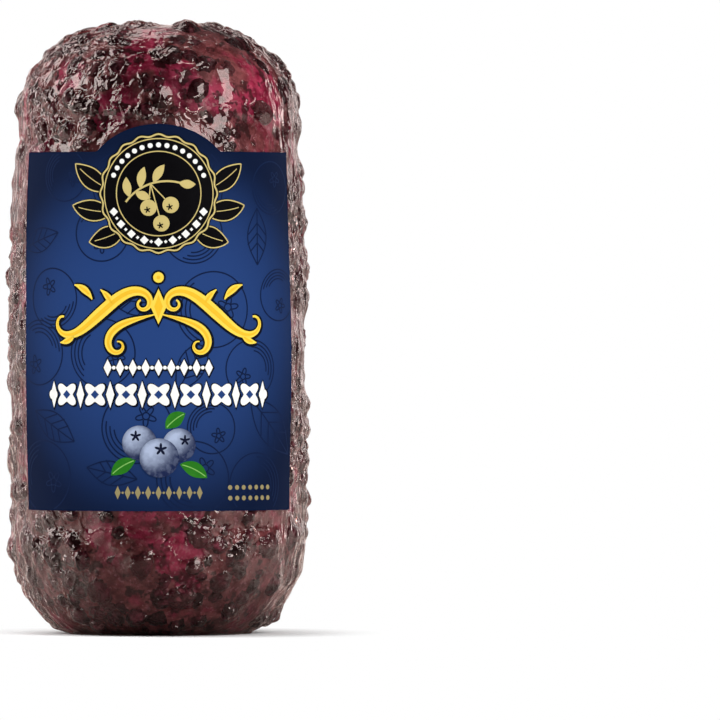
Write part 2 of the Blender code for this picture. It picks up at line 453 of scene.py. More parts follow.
# %% Bare crimson places, dark clusters and smooth film
HIDDEN_TURNS, HIDDEN_HEIGHTS = (75, 285), (5, 82)
# Nearer the axis than this, a turn is measured as if it were this far from it.
AXIS_ZONE = 4.0 * MM


def hidden_places(count, seed, sizes):
    """Places on the sides and the back: turn, height and size, drawn evenly from their ranges."""
    draw = random.Random(seed)
    ranges = (HIDDEN_TURNS, HIDDEN_HEIGHTS, sizes)
    return [[draw.uniform(*limits) for limits in ranges] for _ in range(count)]


# Each place is its turn in degrees from the front, its height in mm and its size in mm.
BARE_PLACES = (
    (-9, 82.5, 4.5), (8, 79.5, 4.5), (14, 76.5, 4.0), (53, 75.5, 6.5), (-44, 79, 4.5), (-21, 73.5, 4.0),
    (-57, 69.5, 5.0), (-9, 16.5, 4.0), (15, 14.5, 4.5), (6, 11.0, 4.5), (-25, 15, 3.0), (12, 7.5, 2.5),
    (-66, 25, 6.5), (-70, 48, 4.0), (68, 20, 3.5), *hidden_places(22, 3, (2.5, 5.5)),
)
# The three clusters at heights of 1.5 to 2 mm are partly real dark berries and partly painted shade: their
# darker berries darken the foot's front, where it curves under into shade.
CLUSTERS = (
    (-17, 77.5, 5.5), (1, 82.5, 3.0), (-38, 83, 7.0), (20, 82.5, 3.5), (-40, 72, 4.5), (30, 70.5, 3.5),
    (-36, 11.5, 4.5), (-15, 14.5, 3.0), (30, 13.5, 3.5), (62, 82, 5.0), (-20, 1.5, 4.0), (2, 1.5, 4.0),
    (24, 2.0, 4.0), (66, 62, 5.0), (70, 50, 4.0), (-62, 60, 4.5), (-64, 38, 3.5), (68, 33, 4.0),
    (-27, 76, 4.5), (-5, 75.5, 4.0), (3, 6.5, 3.0), (19, 8.0, 3.5), (33, 8.5, 3.0), (43, 13, 3.0),
    (-50, 14, 3.5), *hidden_places(16, 4, (3.0, 5.0)),
)
SMOOTH_PLACES = (
    (27, 77, 10), (36, 71, 7), (52, 75, 11), (-20, 9, 10), *hidden_places(7, 5, (6.0, 10.0)),
)


def nearest_hill(spots, places):
    """1 at the middle of a named place, 0 beyond its size, and a smooth hill between: the highest.

    The spots are those of a skin or of berries, by their turn, radius and height.
    """
    hills = []
    for turn_deg, height, size in places:
        aside = np.remainder(spots.turn - math.radians(turn_deg) + math.pi, math.tau) - math.pi
        away = np.hypot(aside * np.maximum(spots.radius, AXIS_ZONE), spots.height - height * MM)
        hills.append(1 - smoothstep(away / (size * MM)))
    return np.maximum.reduce(hills)


print("named places:", len(BARE_PLACES), "bare,", len(CLUSTERS), "clusters,", len(SMOOTH_PLACES), "smooth")

# %% [markdown]
# ## Where the berries lie
#
# The largest berries are the lumps of the CAD model, so their places and sizes come from the same
# golden spiral with the same seed. The real crust has many more, smaller and sunk deeper, so a
# second, denser spiral fills in between. A berry of it is skipped where it would lie on one that
# is there already, or where a slow noise leaves a gap: there the stained cheese shows, in patches
# a berry or two wide.

# %% Sites of the large berries
GOLDEN_ANGLE = math.pi * (3 - math.sqrt(5))
AREA_SO_FAR = np.concatenate([[0], np.cumsum(FINE_RADIUS[1:] * np.diff(FINE_ALONG))])
LARGE_SEED, LARGE_SITES, LARGE_JITTER = 11, 215, 1.5 * MM
# Half length, width and thickness over length, how far the top stands out, spin, and shape.
LARGE_RANGES = (
    (1.9 * MM, 2.8 * MM), (0.72, 0.95), (0.50, 0.64), (0.45 * MM, 0.95 * MM), (0, math.pi), (0, 1),
)
FLAT_ZONE = 0.2 * MM


def spiral(count):
    """Turn, distance along and radius on an even spiral by area, each a golden angle further on."""
    number = np.arange(count)
    turn = np.remainder(number * GOLDEN_ANGLE + math.pi, math.tau) - math.pi
    along = np.interp((number + 0.5) / count * AREA_SO_FAR[-1], AREA_SO_FAR, FINE_ALONG)
    return turn, along, np.interp(along, FINE_ALONG, FINE_RADIUS)


def along_at(z, radius):
    """Distance along the outline at a height, or at a radius on the flats, where height says nothing."""
    along = np.interp(z, FINE_HEIGHT, FINE_ALONG)
    along = np.where(z > LOG_HEIGHT - FLAT_ZONE, OUTLINE_LENGTH - radius, along)
    return np.where(z < FLAT_ZONE, radius, along)


def large_sites():
    """The CAD model's berries: each place of the spiral moved a little, round the log and in height."""
    draw = random.Random(LARGE_SEED)
    ranges = ((-LARGE_JITTER, LARGE_JITTER), (-LARGE_JITTER, LARGE_JITTER), *LARGE_RANGES)
    drawn = np.array([[draw.uniform(*limits) for limits in ranges] for _ in range(LARGE_SITES)])
    turn, along, radius = spiral(LARGE_SITES)
    turn = turn + drawn[:, 0] / np.maximum(radius, AXIS_ZONE)
    height = np.interp(along, FINE_ALONG, FINE_HEIGHT) + drawn[:, 1] * smoothstep(radius / SIDE_RADIUS)
    along = along_at(np.clip(height, 0, LOG_HEIGHT), radius)
    return np.column_stack([turn, along, drawn[:, 2:]])


LARGE = large_sites()
print("large berry sites:", len(LARGE))


# %% Berries as arrays
class Berries:
    """Many berries at once: each row of sites gives one berry's place, half sizes, rise and spin."""

    def __init__(self, sites):
        self.sites = sites
        self.turn, self.along, long, slim, flat, proud, spin, self.shape = sites.T
        self.radius = np.interp(self.along, FINE_ALONG, FINE_RADIUS)
        self.height = np.interp(self.along, FINE_ALONG, FINE_HEIGHT)
        outward = around(self.turn, *outward_slope(self.along))
        aside = np.stack([np.cos(self.turn), np.sin(self.turn), 0 * self.turn], -1)
        upright = np.cross(outward, aside)
        cos, sin = np.cos(spin)[:, None], np.sin(spin)[:, None]
        self.axes = np.stack([cos * aside + sin * upright, cos * upright - sin * aside, outward], 1)
        self.half = np.stack([long, long * slim, long * flat], -1)
        rise = bare_rise(self.turn, self.height, self.radius) + proud - self.half[:, 2]
        self.middle = around(self.turn, self.radius, self.height) + outward * rise[:, None]

    def kept(self, keep):
        """The same berries without those that keep leaves out."""
        return Berries(self.sites[keep])

    def stands_clear(self, label_gap, floor_gap):
        """True for each berry that lies wholly beside the label and above the floor, by these gaps.

        A berry's lowest point is its middle less its reach along Z.
        """
        reach = np.sqrt(((self.axes[:, :, 2] * self.half) ** 2).sum(1))
        beside = outside_label(self.turn, self.height) > self.half[:, 0] + label_gap
        return beside & (self.middle[:, 2] - reach > floor_gap)


LABEL_CLEARANCE, FLOOR_CLEARANCE = 0.5 * MM, 0.35 * MM
large = Berries(LARGE)
large = large.kept(large.stands_clear(LABEL_CLEARANCE, FLOOR_CLEARANCE))
print("large berries that show:", len(large.turn))

# %% Sites of the small berries between them
SMALL_SEED, SMALL_SITES, SMALL_JITTER = 23, 2400, 1.1 * MM
SMALL_RANGES = (
    (1.4 * MM, 2.3 * MM), (0.68, 0.98), (0.55, 0.80), (0.15 * MM, 0.75 * MM), (0, math.pi), (0, 1),
)
SMALL_LABEL_CLEARANCE, SMALL_FLOOR_CLEARANCE = -1.2 * MM, 0.1 * MM
CROWDING, GAP_CELL, GAP_SHARE = 0.50, 8.0 * MM, 0.44
# How much more of the crust is gaps at the named places.
GAPS_AT = ((BARE_PLACES, 0.35), (CLUSTERS, -0.35), (SMOOTH_PLACES, 0.22))


def small_sites(taken):
    """A denser spiral of berries, thinned where they would crowd or where the noise leaves a gap."""
    draw = np.random.default_rng(SMALL_SEED)
    turn, along, radius = spiral(SMALL_SITES)
    side_shift, lift = draw.uniform(-1, 1, (2, SMALL_SITES)) * SMALL_JITTER
    turn = turn + side_shift / np.maximum(radius, AXIS_ZONE)
    along = np.clip(along + lift, 0, OUTLINE_LENGTH)
    form = [draw.uniform(*limits, SMALL_SITES) for limits in SMALL_RANGES]
    berries = Berries(np.stack([turn, along, *form], -1))
    share = GAP_SHARE + sum(more * nearest_hill(berries, places) for places, more in GAPS_AT)
    wanted = layered_noise(berries.middle, GAP_CELL, SMALL_SEED) > share
    wanted &= berries.stands_clear(SMALL_LABEL_CLEARANCE, SMALL_FLOOR_CLEARANCE)
    middles, reaches = list(taken.middle), list(taken.half[:, 0])
    kept = []
    for i in np.flatnonzero(wanted):
        apart = np.linalg.norm(np.array(middles) - berries.middle[i], axis=1)
        if (apart > CROWDING * (np.array(reaches) + berries.half[i, 0])).all():
            kept.append(i)
            middles.append(berries.middle[i])
            reaches.append(berries.half[i, 0])
    return berries.kept(kept)


small = small_sites(large)
print("small berries:", len(small.turn))

# %% [markdown]
# ## The berries
#
# A dried wild blueberry is a flattened ball a few millimetres long. Its skin has shrunk into dents
# and ridges, and at one end is the crown, a low ring where the flower was. A ball grid pushed in by
# noise gives all of that with few faces, so each berry is worked out on its own, and all of one
# kind become one mesh. Rings of points lie closer together near the crown, to hold its rim.

# %% Shape of a berry
RING_CLOSENESS = 1.25
CROWN_WIDTH, CROWN_DEPTH = 0.30, 0.22
RIM_ANGLE, RIM_WIDTH, RIM_HEIGHT = 1.35 * CROWN_WIDTH, 0.13, 0.10
DENT, DENT_CELL, RIDGE, RIDGE_CELL = 0.36, 0.70, 0.22, 0.42
FULLNESS, NOISE_APART = 1.16, 97
CLUSTER_DARKER = 0.7


def berry_points(berries, rings, sides, seed):
    """Points of every berry at once: berries, rings, sides, xyz.

    A direction on a unit ball is scaled by FULLNESS less broad dents, less thin creases, less a pit at
    the crown and plus a ring round it, but by 1 at most. Then it is stretched to the berry's half
    sizes and set in its place.
    """
    polar = math.pi * np.linspace(0, 1, rings) ** RING_CLOSENESS
    round_it = np.linspace(0, math.tau, sides, endpoint=False)
    ring, side = np.meshgrid(polar, round_it, indexing="ij")
    crown_axis = np.stack([np.cos(ring), np.sin(ring) * np.cos(side), np.sin(ring) * np.sin(side)], -1)
    ball = np.broadcast_to(crown_axis, (len(berries.turn), *crown_axis.shape))
    own_place = ball + berries.shape[:, None, None, None] * NOISE_APART
    dents = layered_noise(own_place, DENT_CELL, seed, 2)
    folds = creases(own_place, RIDGE_CELL, seed + 5, 2) ** 3
    pit = np.exp(-((ring / CROWN_WIDTH) ** 2))
    rim = np.exp(-(((ring - RIM_ANGLE) / RIM_WIDTH) ** 2)) * (1 + 0.5 * np.cos(5 * side))
    scale = FULLNESS - DENT * dents - RIDGE * folds - CROWN_DEPTH * pit + RIM_HEIGHT * rim
    shaped = ball * np.minimum(scale, 1)[..., None] * berries.half[:, None, None, :]
    return np.einsum("nrsk,nkx->nrsx", shaped, berries.axes) + berries.middle[:, None, None, :]


def berry_piece(name, berries, rings, sides, seed, finish):
    """All berries of one kind as one mesh. The end rings are drawn together, which closes them.

    Each berry's shape number is its hue too, lower, and so darker, in a cluster. Low on the foot's front
    that darkness is partly painted shade.
    """
    points = berry_points(berries, rings, sides, seed)
    for end in (0, -1):
        points[:, end] = points[:, end].mean(1, keepdims=True)
    first_corners = np.arange(len(berries.turn)) * rings * sides
    faces = (grid_faces(rings, sides, True) + first_corners[:, None, None]).reshape(-1, 4)
    # Darker berries in the clusters low on the foot's front are partly painted shade.
    hue = berries.shape * (1 - CLUSTER_DARKER * nearest_hill(berries, CLUSTERS))
    return new_piece(name, points, faces, finish, {"hue": np.repeat(hue, rings * sides)})


# %% [markdown]
# Dried blueberries look black at first, but not one is neutral: some are plum, some brown where the
# skin is thin, and most have redder blotches. They are moist, so their wrinkles glint. Colour
# follows a value stored per berry, and two bumps add the wrinkles that are finer than the mesh:
# ridged noise for the folds, and a finer grain.

# %% Finish of the berries
def berry_finish():
    """Plum to brown by each berry's hue, with redder blotches, and wrinkles in two sizes."""
    finish = Finish("dried_blueberry")
    own = finish.attribute("hue")
    blotch = finish.speckle(500, 4)
    skin = finish.blend(own.ramp(0.1, 0.9), (0.035, 0.0065, 0.0088), (0.120, 0.032, 0.036))
    skin = finish.blend(blotch.ramp(0.46, 0.70), skin, (0.170, 0.030, 0.046))
    wrinkle = finish.speckle(1500, 3, 0.6, kind="RIDGED_MULTIFRACTAL")
    grain = finish.speckle(4200, 2)
    relief = finish.bump(grain, 0.15 * MM, finish.bump(wrinkle, 0.8 * MM))
    return finish.principled(skin, 0.28, 0.25, relief)


BERRY_FINISH = berry_finish()
large_berries = berry_piece("large_berries", large, rings=15, sides=20, seed=31, finish=BERRY_FINISH)
small_berries = berry_piece("small_berries", small, rings=12, sides=15, seed=47, finish=BERRY_FINISH)
for piece in (large_berries, small_berries):
    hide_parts("cheese_log")


# %% [markdown]
# ## How high the berries push the film
#
# The film has to touch every berry's top and hang between them, so first comes the height of the
# berries over each place of a grid. From a place on the bare log a line runs outwards. Stretched
# into a berry's own space, where the berry is a unit ball, it meets the ball where a quadratic says.

# %% Berries as a height over the log
NO_BERRY = -1.0
REACH_MARGIN = 0.5 * MM


def berry_rise(skin, berries):
    """The outermost height at which each place's outward line leaves any berry, else a low number."""
    start = skin.places(skin.bare)
    outward = skin.outward()
    highest = np.full(skin.bare.shape, NO_BERRY)
    for i in range(len(berries.turn)):
        reach = berries.half[i, 0] + REACH_MARGIN
        rows = np.flatnonzero(np.abs(skin.along[:, 0] - berries.along[i]) < reach)
        if not len(rows):
            continue
        window = slice(rows[0], rows[-1] + 1)
        into_ball = berries.axes[i].T / berries.half[i]
        offset = (start[window] - berries.middle[i]) @ into_ball
        heading = outward[window] @ into_ball
        a = (heading**2).sum(-1)
        b = (heading * offset).sum(-1)
        c = (offset**2).sum(-1) - 1
        inside = b * b - a * c
        top = np.where(inside > 0, (-b + np.sqrt(np.maximum(inside, 0))) / a, NO_BERRY)
        near = ((start[window] - berries.middle[i]) ** 2).sum(-1) < (2 * reach) ** 2
        highest[window] = np.maximum(highest[window], np.where(near, top, NO_BERRY))
    return skin.bare + highest


FILM = Skin(rows=328, columns=302)
BERRY_TOPS = berry_rise(FILM, Berries(np.concatenate([large.sites, small.sites])))
OVER_BERRY = (BERRY_TOPS > FILM.bare).astype(float)
print("share of the film's places over a berry:", round(float(OVER_BERRY.mean()), 2))

# %% [markdown]
# ## The film
#
# Tight film touches what stands out and bridges what lies between. Cloth simulation could find
# that shape, but over a thousand small contacts it is slow and noisy. The same shape is what image
# processing calls a closing: first every point lifts its surroundings by an upside-down parabola,
# then every point is lowered as far as the same parabola allows. A wide parabola is stiff film, a
# narrow one clings. Both are worked out and blended, stiff where the real film is smooth.

# %% Closing a height field
REACH = 12


def blurred(field, passes):
    """Each place takes half its own value and a quarter of each neighbour's, both ways, repeated."""
    for _ in range(passes):
        field = field / 2 + (np.roll(field, 1, 1) + np.roll(field, -1, 1)) / 4
        padded = np.concatenate([field[:1], field, field[-1:]])
        field = field / 2 + (padded[:-2] + padded[2:]) / 4
    return field


def lifted(field, skin, bend):
    """Each place takes the greatest of its neighbours' heights, less distance squared over 2 bend.

    A parabola of a distance is the sum of those along rows and along columns, so one pass each way
    is enough.
    """
    across = field.copy()
    for step in range(1, REACH + 1):
        fall = (step * skin.column_step) ** 2 / (2 * bend)
        for way in (step, -step):
            across = np.maximum(across, np.roll(field, way, 1) - fall)
    up = across.copy()
    for step in range(1, REACH + 1):
        fall = (step * skin.row_step) ** 2 / (2 * bend)
        up[step:] = np.maximum(up[step:], across[:-step] - fall)
        up[:-step] = np.maximum(up[:-step], across[step:] - fall)
    return up


def bridged(field, skin, bend):
    """Lifts the field and lowers it again, which fills what is narrower than the bend."""
    return -lifted(-lifted(field, skin, bend), skin, bend)


# %% Where the film is smooth and where it is pleated
PATCH_CELL = 9 * MM
PLEAT_CELL, PLEAT_STRETCH, PLEATED_CELL = 1.5 * MM, 0.16, 6 * MM
PLEAT_WANDER, WANDER_CELL = 3 * MM, 5 * MM


def smooth_zones(skin, places):
    """1 where the film is stiff and smooth: at the named places, and in small patches by noise."""
    patches = smoothstep((layered_noise(places, PATCH_CELL, 61, 2) - 0.52) / 0.14)
    return np.maximum(0.8 * patches, smoothstep(1.7 * nearest_hill(skin, SMOOTH_PLACES)))


def beside_label(skin):
    """1 on both sides of the log, where the film is gathered, 0 on its front and back."""
    return smoothstep((np.abs(np.sin(skin.turn)) - 0.72) / 0.26) + 0 * skin.along


def pleats(skin):
    """Creases that run up the log: noise in turn and distance along, stretched along the outline.

    They are strongest on the rounded ends, where a sleeve of film has too much width, and beside the
    label, and fade out towards the poles.
    """
    across, ahead = SIDE_RADIUS * np.sin(skin.turn), SIDE_RADIUS * np.cos(skin.turn)
    sleeve = np.stack(np.broadcast_arrays(across, ahead, PLEAT_STRETCH * skin.along), -1)
    wander = layered_noise(sleeve, WANDER_CELL, 71, 2)[..., None] * PLEAT_WANDER
    lines = creases(sleeve + wander, PLEAT_CELL, 73, 2) ** 2
    present = smoothstep((layered_noise(sleeve, PLEATED_CELL, 77, 2) - 0.35) / 0.3)
    foot = 1 - smoothstep((skin.height - 4 * MM) / (14 * MM))
    head = smoothstep((skin.height - 70 * MM) / (10 * MM))
    gathered = np.maximum(np.maximum(foot, head), beside_label(skin))
    fade = smoothstep((skin.radius - 3 * MM) / (9 * MM))
    return lines * present * (0.35 + 0.65 * gathered) * fade


# %% The film's heights
CLINGING, TAUT, TOUCHING = 0.7 * MM, 8.0 * MM, 0.35 * MM
GROUND_SUNK, GROUND_LUMP, GROUND_CELL = 0.1 * MM, 0.3 * MM, 2.2 * MM
PLEAT_RISE = 0.38 * MM
WRINKLE_RISE, WRINKLE_CELL = 0.42 * MM, 1.7 * MM
RIPPLE_RISE, RIPPLE_CELL = 0.70 * MM, 3.9 * MM
FILM_OVER_BERRY, UNDER_LABEL = 0.04 * MM, 0.22 * MM
TUCKED_IN, TUCKED_OVER = 0.3 * MM, 0.7 * MM


def film_rise(skin):
    """Heights of the film, how wrinkled it is, and how smooth, at every place of its skin.

    It hangs as a closing of the berries' height, on which pleats, wrinkles and slow ripples are added,
    and it lies flat under the label.
    """
    places = skin.places(skin.bare)
    ground = skin.bare - GROUND_SUNK + GROUND_LUMP * layered_noise(places, GROUND_CELL, 81, 2)
    tops = np.maximum(ground, BERRY_TOPS)
    smooth = smooth_zones(skin, places)
    close, wide = bridged(tops, skin, CLINGING), bridged(tops, skin, TAUT)
    hanging = close + smooth * (wide - close)
    touching = (1 - smoothstep((hanging - BERRY_TOPS) / TOUCHING)) * (BERRY_TOPS > ground)
    crusted = smoothstep((blurred(OVER_BERRY, 4) - 0.35) / 0.3)
    on_berries = np.maximum(blurred(touching, 1), 0.8 * crusted) * (1 - 0.9 * smooth)
    wrinkled = np.maximum(on_berries, 0.9 * nearest_hill(skin, CLUSTERS))
    wrinkles = creases(places, WRINKLE_CELL, 85, 2) ** 2 - 0.6
    ripples = layered_noise(places, RIPPLE_CELL, 87, 2) - 0.5
    pleated = pleats(skin) * (1 - 0.7 * smooth * (1 - beside_label(skin)))
    rise = hanging + PLEAT_RISE * pleated + FILM_OVER_BERRY
    rise = rise + WRINKLE_RISE * wrinkles * wrinkled + RIPPLE_RISE * ripples
    pressed = 1 - smoothstep((outside_label(skin.turn, skin.height) + TUCKED_IN) / TUCKED_OVER)
    rise = rise + pressed * (skin.bare + UNDER_LABEL - rise)
    return rise, wrinkled * (1 - pressed), smooth


FILM_RISE, FILM_WRINKLED, FILM_SMOOTH = film_rise(FILM)
print("film stands out by", np.round(np.percentile(FILM_RISE / MM, [1, 50, 99]), 2), "mm")

# %% [markdown]
# Clear film shows only by what it mirrors: the Fresnel law gives a few percent head on and far more
# at a grazing angle, so its middle looks like its contents and its sides go pale. A Mix Shader
# between Transparent and Glossy with that law as its factor is thin film exactly, with none of the
# bending that solid glass would add. The index of 1.75 is higher than that of any film, because it
# stands for both of its faces, which mirror about 7 percent together. The gloss is tinted a little
# towards pink, which the wet crust lends to its glints. Three bumps make the finest of them: ridges
# where the film clings to wrinkled berries, strands up the gathered sides, and long faint creases
# everywhere.

# %% Finish of the film
FILM_IOR, FILM_ROUGHNESS = 1.75, 0.05
FILM_TINT = (1.0, 0.84, 0.805)


def film_finish():
    """A clear sheet that mirrors by the Fresnel law, with its relief in three bumps."""
    finish = Finish("clear_film")
    wrinkled = finish.attribute("wrinkled")
    side = finish.attribute("side")
    smooth = finish.attribute("smooth")
    shrivel = finish.speckle(950, 1, 0.4, kind="RIDGED_MULTIFRACTAL")
    strands = finish.speckle(700, 2, 0.5, stretch=(1, 1, 0.17), offset=0.3)
    wander = finish.speckle(290, 2, 0.5, offset=0.7)
    crease = (1 - abs(wander - 0.5) * 14).ramp(0, 1)
    relief = finish.bump(crease * (1 - 0.6 * smooth), 0.10 * MM)
    relief = finish.bump(strands * side, 0.9 * MM, relief)
    relief = finish.bump(shrivel * wrinkled * (1 - 0.5 * side), 0.55 * MM, relief)
    clear = finish.node("ShaderNodeBsdfTransparent")
    gloss = {"Color": opaque(FILM_TINT), "Roughness": FILM_ROUGHNESS, "Normal": relief}
    mirror = finish.node("ShaderNodeBsdfAnisotropic", {"distribution": "GGX"}, gloss)
    share = finish.node("ShaderNodeFresnel", inputs={"IOR": FILM_IOR, "Normal": relief})
    return finish.surface(finish.either(share, clear, mirror))


FILM_VALUES = {"wrinkled": FILM_WRINKLED, "smooth": FILM_SMOOTH, "side": beside_label(FILM)}
film = closed_skin("clear_film", FILM, FILM_RISE, film_finish(), FILM_VALUES)
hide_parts("cheese_log")

# %% [markdown]
# ## The stained cheese
#
# Under the film, between the berries, soft cheese has soaked up their juice. It is lumpy by itself,
# and pressed flat wherever the film comes down to it. The colour is what makes it food: crimson
# where the juice is fresh, near maroon where it has soaked deep, pink where the cheese is thick, and
# a dull brown-purple where skins and juice have dried to a paste.

# %% Shape of the cheese
CHEESE_LUMP, CHEESE_CELL, CHEESE_SUNK = 0.6 * MM, 2.6 * MM, 0.45 * MM
UNDER_FILM, SUNK_AT_LABEL = 0.08 * MM, 0.3 * MM


def from_film(skin, field):
    """A field of the film's grid, read at the nearest place for each place of another skin."""
    row = np.interp(skin.along[:, 0], FILM.along[:, 0], np.arange(len(FILM.along)))
    column = np.arange(skin.turn.size) * FILM.turn.size / skin.turn.size
    return field[np.rint(row).astype(int)][:, np.rint(column).astype(int) % FILM.turn.size]


def cheese_rise(skin):
    """The bare log with lumps by noise, kept under the film by reading the film's own heights."""
    lumps = CHEESE_LUMP * layered_noise(skin.places(skin.bare), CHEESE_CELL, 91) - CHEESE_SUNK
    rise = np.minimum(skin.bare + lumps, from_film(skin, FILM_RISE) - UNDER_FILM)
    return np.where(outside_label(skin.turn, skin.height) < 0, skin.bare - SUNK_AT_LABEL, rise)


CHEESE = Skin(rows=170, columns=320)
CHEESE_RISE = cheese_rise(CHEESE)
STAINED = nearest_hill(CHEESE, BARE_PLACES)
CRUSTED = from_film(CHEESE, blurred(OVER_BERRY, 6))
print("cheese stands out by", np.round(np.percentile(CHEESE_RISE / MM, [1, 50, 99]), 2), "mm")


# %% Finish of the cheese
def cheese_finish():
    """Paste by default, crimson to pink in fresh places, with grains and bits of skin over both."""
    finish = Finish("stained_cheese")
    broad = finish.speckle(150, 4, 0.55)
    fine = finish.speckle(620, 4, 0.6, offset=0.4)
    stain = finish.attribute("stain")
    crusted = finish.attribute("crusted")
    fresh = (broad * 0.75 + 0.42 * stain - 0.20 * crusted).ramp(0.345, 0.485)
    paste = finish.blend(fine.ramp(0.35, 0.7), (0.155, 0.035, 0.038), (0.37, 0.104, 0.108))
    crimson = finish.blend(fine.ramp(0.3, 0.62), (0.280, 0.010, 0.042), (0.560, 0.056, 0.132))
    soaked = finish.speckle(240, 3, 0.6, offset=2.3).ramp(0.36, 0.52)
    crimson = finish.blend(soaked, (0.140, 0.0045, 0.021), crimson)
    pink = finish.blend(fine.ramp(0.58, 0.76), crimson, (0.66, 0.23, 0.30))
    colour = finish.blend(fresh, paste, pink)
    grains = finish.speckle(1700, 2, 0.5, offset=0.9).ramp(0.59, 0.68)
    colour = finish.blend(grains * 0.40, colour, (0.66, 0.27, 0.31))
    fragments = finish.speckle(430, 3, 0.6, offset=1.1).ramp(0.56, 0.63)
    colour = finish.blend(fragments * 0.85, colour, (0.050, 0.015, 0.0155))
    return finish.principled(colour, 0.45, 0.15, finish.bump(fine, 0.25 * MM))


CHEESE_VALUES = {"stain": STAINED, "crusted": CRUSTED}
cheese = closed_skin("stained_cheese", CHEESE, CHEESE_RISE, cheese_finish(), CHEESE_VALUES)
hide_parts("cheese_log")

# %% [markdown]
# ## The label
#
# A sheet of satin paper, die-cut with a round tab, and bent round the front. A flat grid whose
# upper edge follows the tab, laid on the log by formula, is all it needs, with Solidify for its
# thickness.

# %% Label coordinates to the log
LABEL_COLUMNS, LABEL_ROWS = 129, 41
BRIGHTEST_UP, DARKENS_ABOVE, DARKENS_BELOW = 0.55, 2.2, 1.75


def on_label(across, up, lift):
    """Bends flat label coordinates round the log: across is a length round it, up a height."""
    z = LABEL_FOOT + up
    turn = across / label_radius(z)
    core = core_radius(z)
    return around(turn, core + bare_rise(turn, z, core) + LABEL_GAP + lift, z)


def label_finish():
    """Satin paper, printed blue in the middle and darker towards its edges, with a faint fibre."""
    finish = Finish("blue_label")
    across, up, _ = finish.xyz(finish.node("ShaderNodeUVMap", {"uv_map": "print"}))
    beside = abs(across - 0.5) * 2
    above, below = (up - BRIGHTEST_UP) * DARKENS_ABOVE, (BRIGHTEST_UP - up) * DARKENS_BELOW
    far = (beside**2 * 0.8 + up.maths("MAXIMUM", above, below) ** 2).ramp(0.0, 1.2)
    colour = finish.blend(far, (0.019, 0.053, 0.190), (0.0036, 0.0090, 0.033))
    return finish.principled(colour, 0.55, 0.02, finish.bump(finish.speckle(2500, 3), 0.004 * MM))


def sharpen(mesh, border):
    """Makes each edge between two points of the border sharp, so that the sheet's rim stays crisp."""
    ends = np.empty(2 * len(mesh.edges), np.int32)
    mesh.edges.foreach_get("vertices", ends)
    layer = mesh.attributes.new("sharp_edge", "BOOLEAN", "EDGE")
    layer.data.foreach_set("value", border[ends.reshape(-1, 2)].all(1))


def label_piece():
    """The sheet: columns across it, rows from its foot to its upper edge."""
    across = np.linspace(-0.5, 0.5, LABEL_COLUMNS)[:, None] * LABEL_WIDTH
    up = (label_top(across) - LABEL_FOOT) * np.linspace(0, 1, LABEL_ROWS)[None, :]
    points = on_label(across + 0 * up, up, 0)
    uv = np.stack([across / LABEL_WIDTH + 0.5 + 0 * up, up / LABEL_HEIGHT], -1)
    faces = grid_faces(LABEL_COLUMNS, LABEL_ROWS, False)[:, ::-1]
    sheet = new_piece("blue_label", points, faces, label_finish(), uv=uv)
    border = np.ones((LABEL_COLUMNS, LABEL_ROWS), bool)
    border[1:-1, 1:-1] = False
    sharpen(sheet.data, border.ravel())
    paper = sheet.modifiers.new("paper", "SOLIDIFY")
    paper.thickness, paper.offset = LABEL_THICKNESS, 1
    return sheet


label = label_piece()
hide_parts("label")

# %% [markdown]
# ## The print
#
# The label is printed in a few inks: navy line drawings of berries over the blue, a black seal with
# gold rings, a yellow scroll, two rows of white ornaments, a small picture of blueberries, and gold
# rules. An image texture would be the usual way, but shapes this plain are sharper and smaller as
# geometry. Each ink is one mesh of thin sheets, a few hundredths of a millimetre over the paper. Each
# of its shapes is a stroke along a curve or the inside of a closed one, in flat label coordinates,
# and is bent round the log at the very end.

# %% Curves in label coordinates
def towards(angle):
    """Unit directions at these angles, anticlockwise from the label's right."""
    return np.stack([np.cos(angle), np.sin(angle)], -1)


def left_of(path):
    """Unit directions square to a path at each of its points, to its left."""
    direction = np.gradient(path, axis=0)
    direction = direction / np.linalg.norm(direction, axis=1, keepdims=True)
    return np.stack([-direction[:, 1], direction[:, 0]], -1)


def half_wave(count):
    """Half a sine wave over this many points, to a power a little below 1, which makes it fuller."""
    return np.sin(np.linspace(0, math.pi, count)) ** 0.85


def circle(middle, radius, count=48):
    """All points at one distance from the middle, the first again at the end."""
    return np.array(middle) + radius * towards(np.linspace(0, math.tau, count + 1))


def lobed(middle, radius, lobes, depth, spin=0.0, count=72):
    """A circle whose radius swings in a cosine as many times as there are lobes."""
    angle = np.linspace(0, math.tau, count + 1)
    swing = 1 - depth + depth * np.cos(lobes * (angle - spin))
    return np.array(middle) + radius * swing[:, None] * towards(angle)


def lozenge(middle, half_width, half_height):
    """Across over half width plus up over half height is one."""
    ahead = towards(np.linspace(0, math.tau, 17))
    return np.array(middle) + ahead / (np.abs(ahead) / [half_width, half_height]).sum(1)[:, None]


def arc(middle, radius, start, end):
    """Part of a circle between two angles in degrees."""
    return np.array(middle) + radius * towards(np.radians(np.linspace(start, end, 24)))


def winding(start, heading, length, curvature, count):
    """A pen's path: its heading turns by the curvature, 1 over the radius, at each share of the way."""
    step = length / (count - 1)
    bend = curvature(np.linspace(0, 1, count)) * step
    angle = math.radians(heading) + np.cumsum(bend) - bend / 2
    moves = step * towards(angle[:-1])
    return np.array(start) + np.concatenate([[[0, 0]], np.cumsum(moves, 0)])


def leaf_axis(start, heading, length, bend):
    """The gently curved line that a leaf lies along: it turns by bend, in radians, over its length."""
    return winding(start, heading, length, lambda share: bend / length + 0 * share, 14)


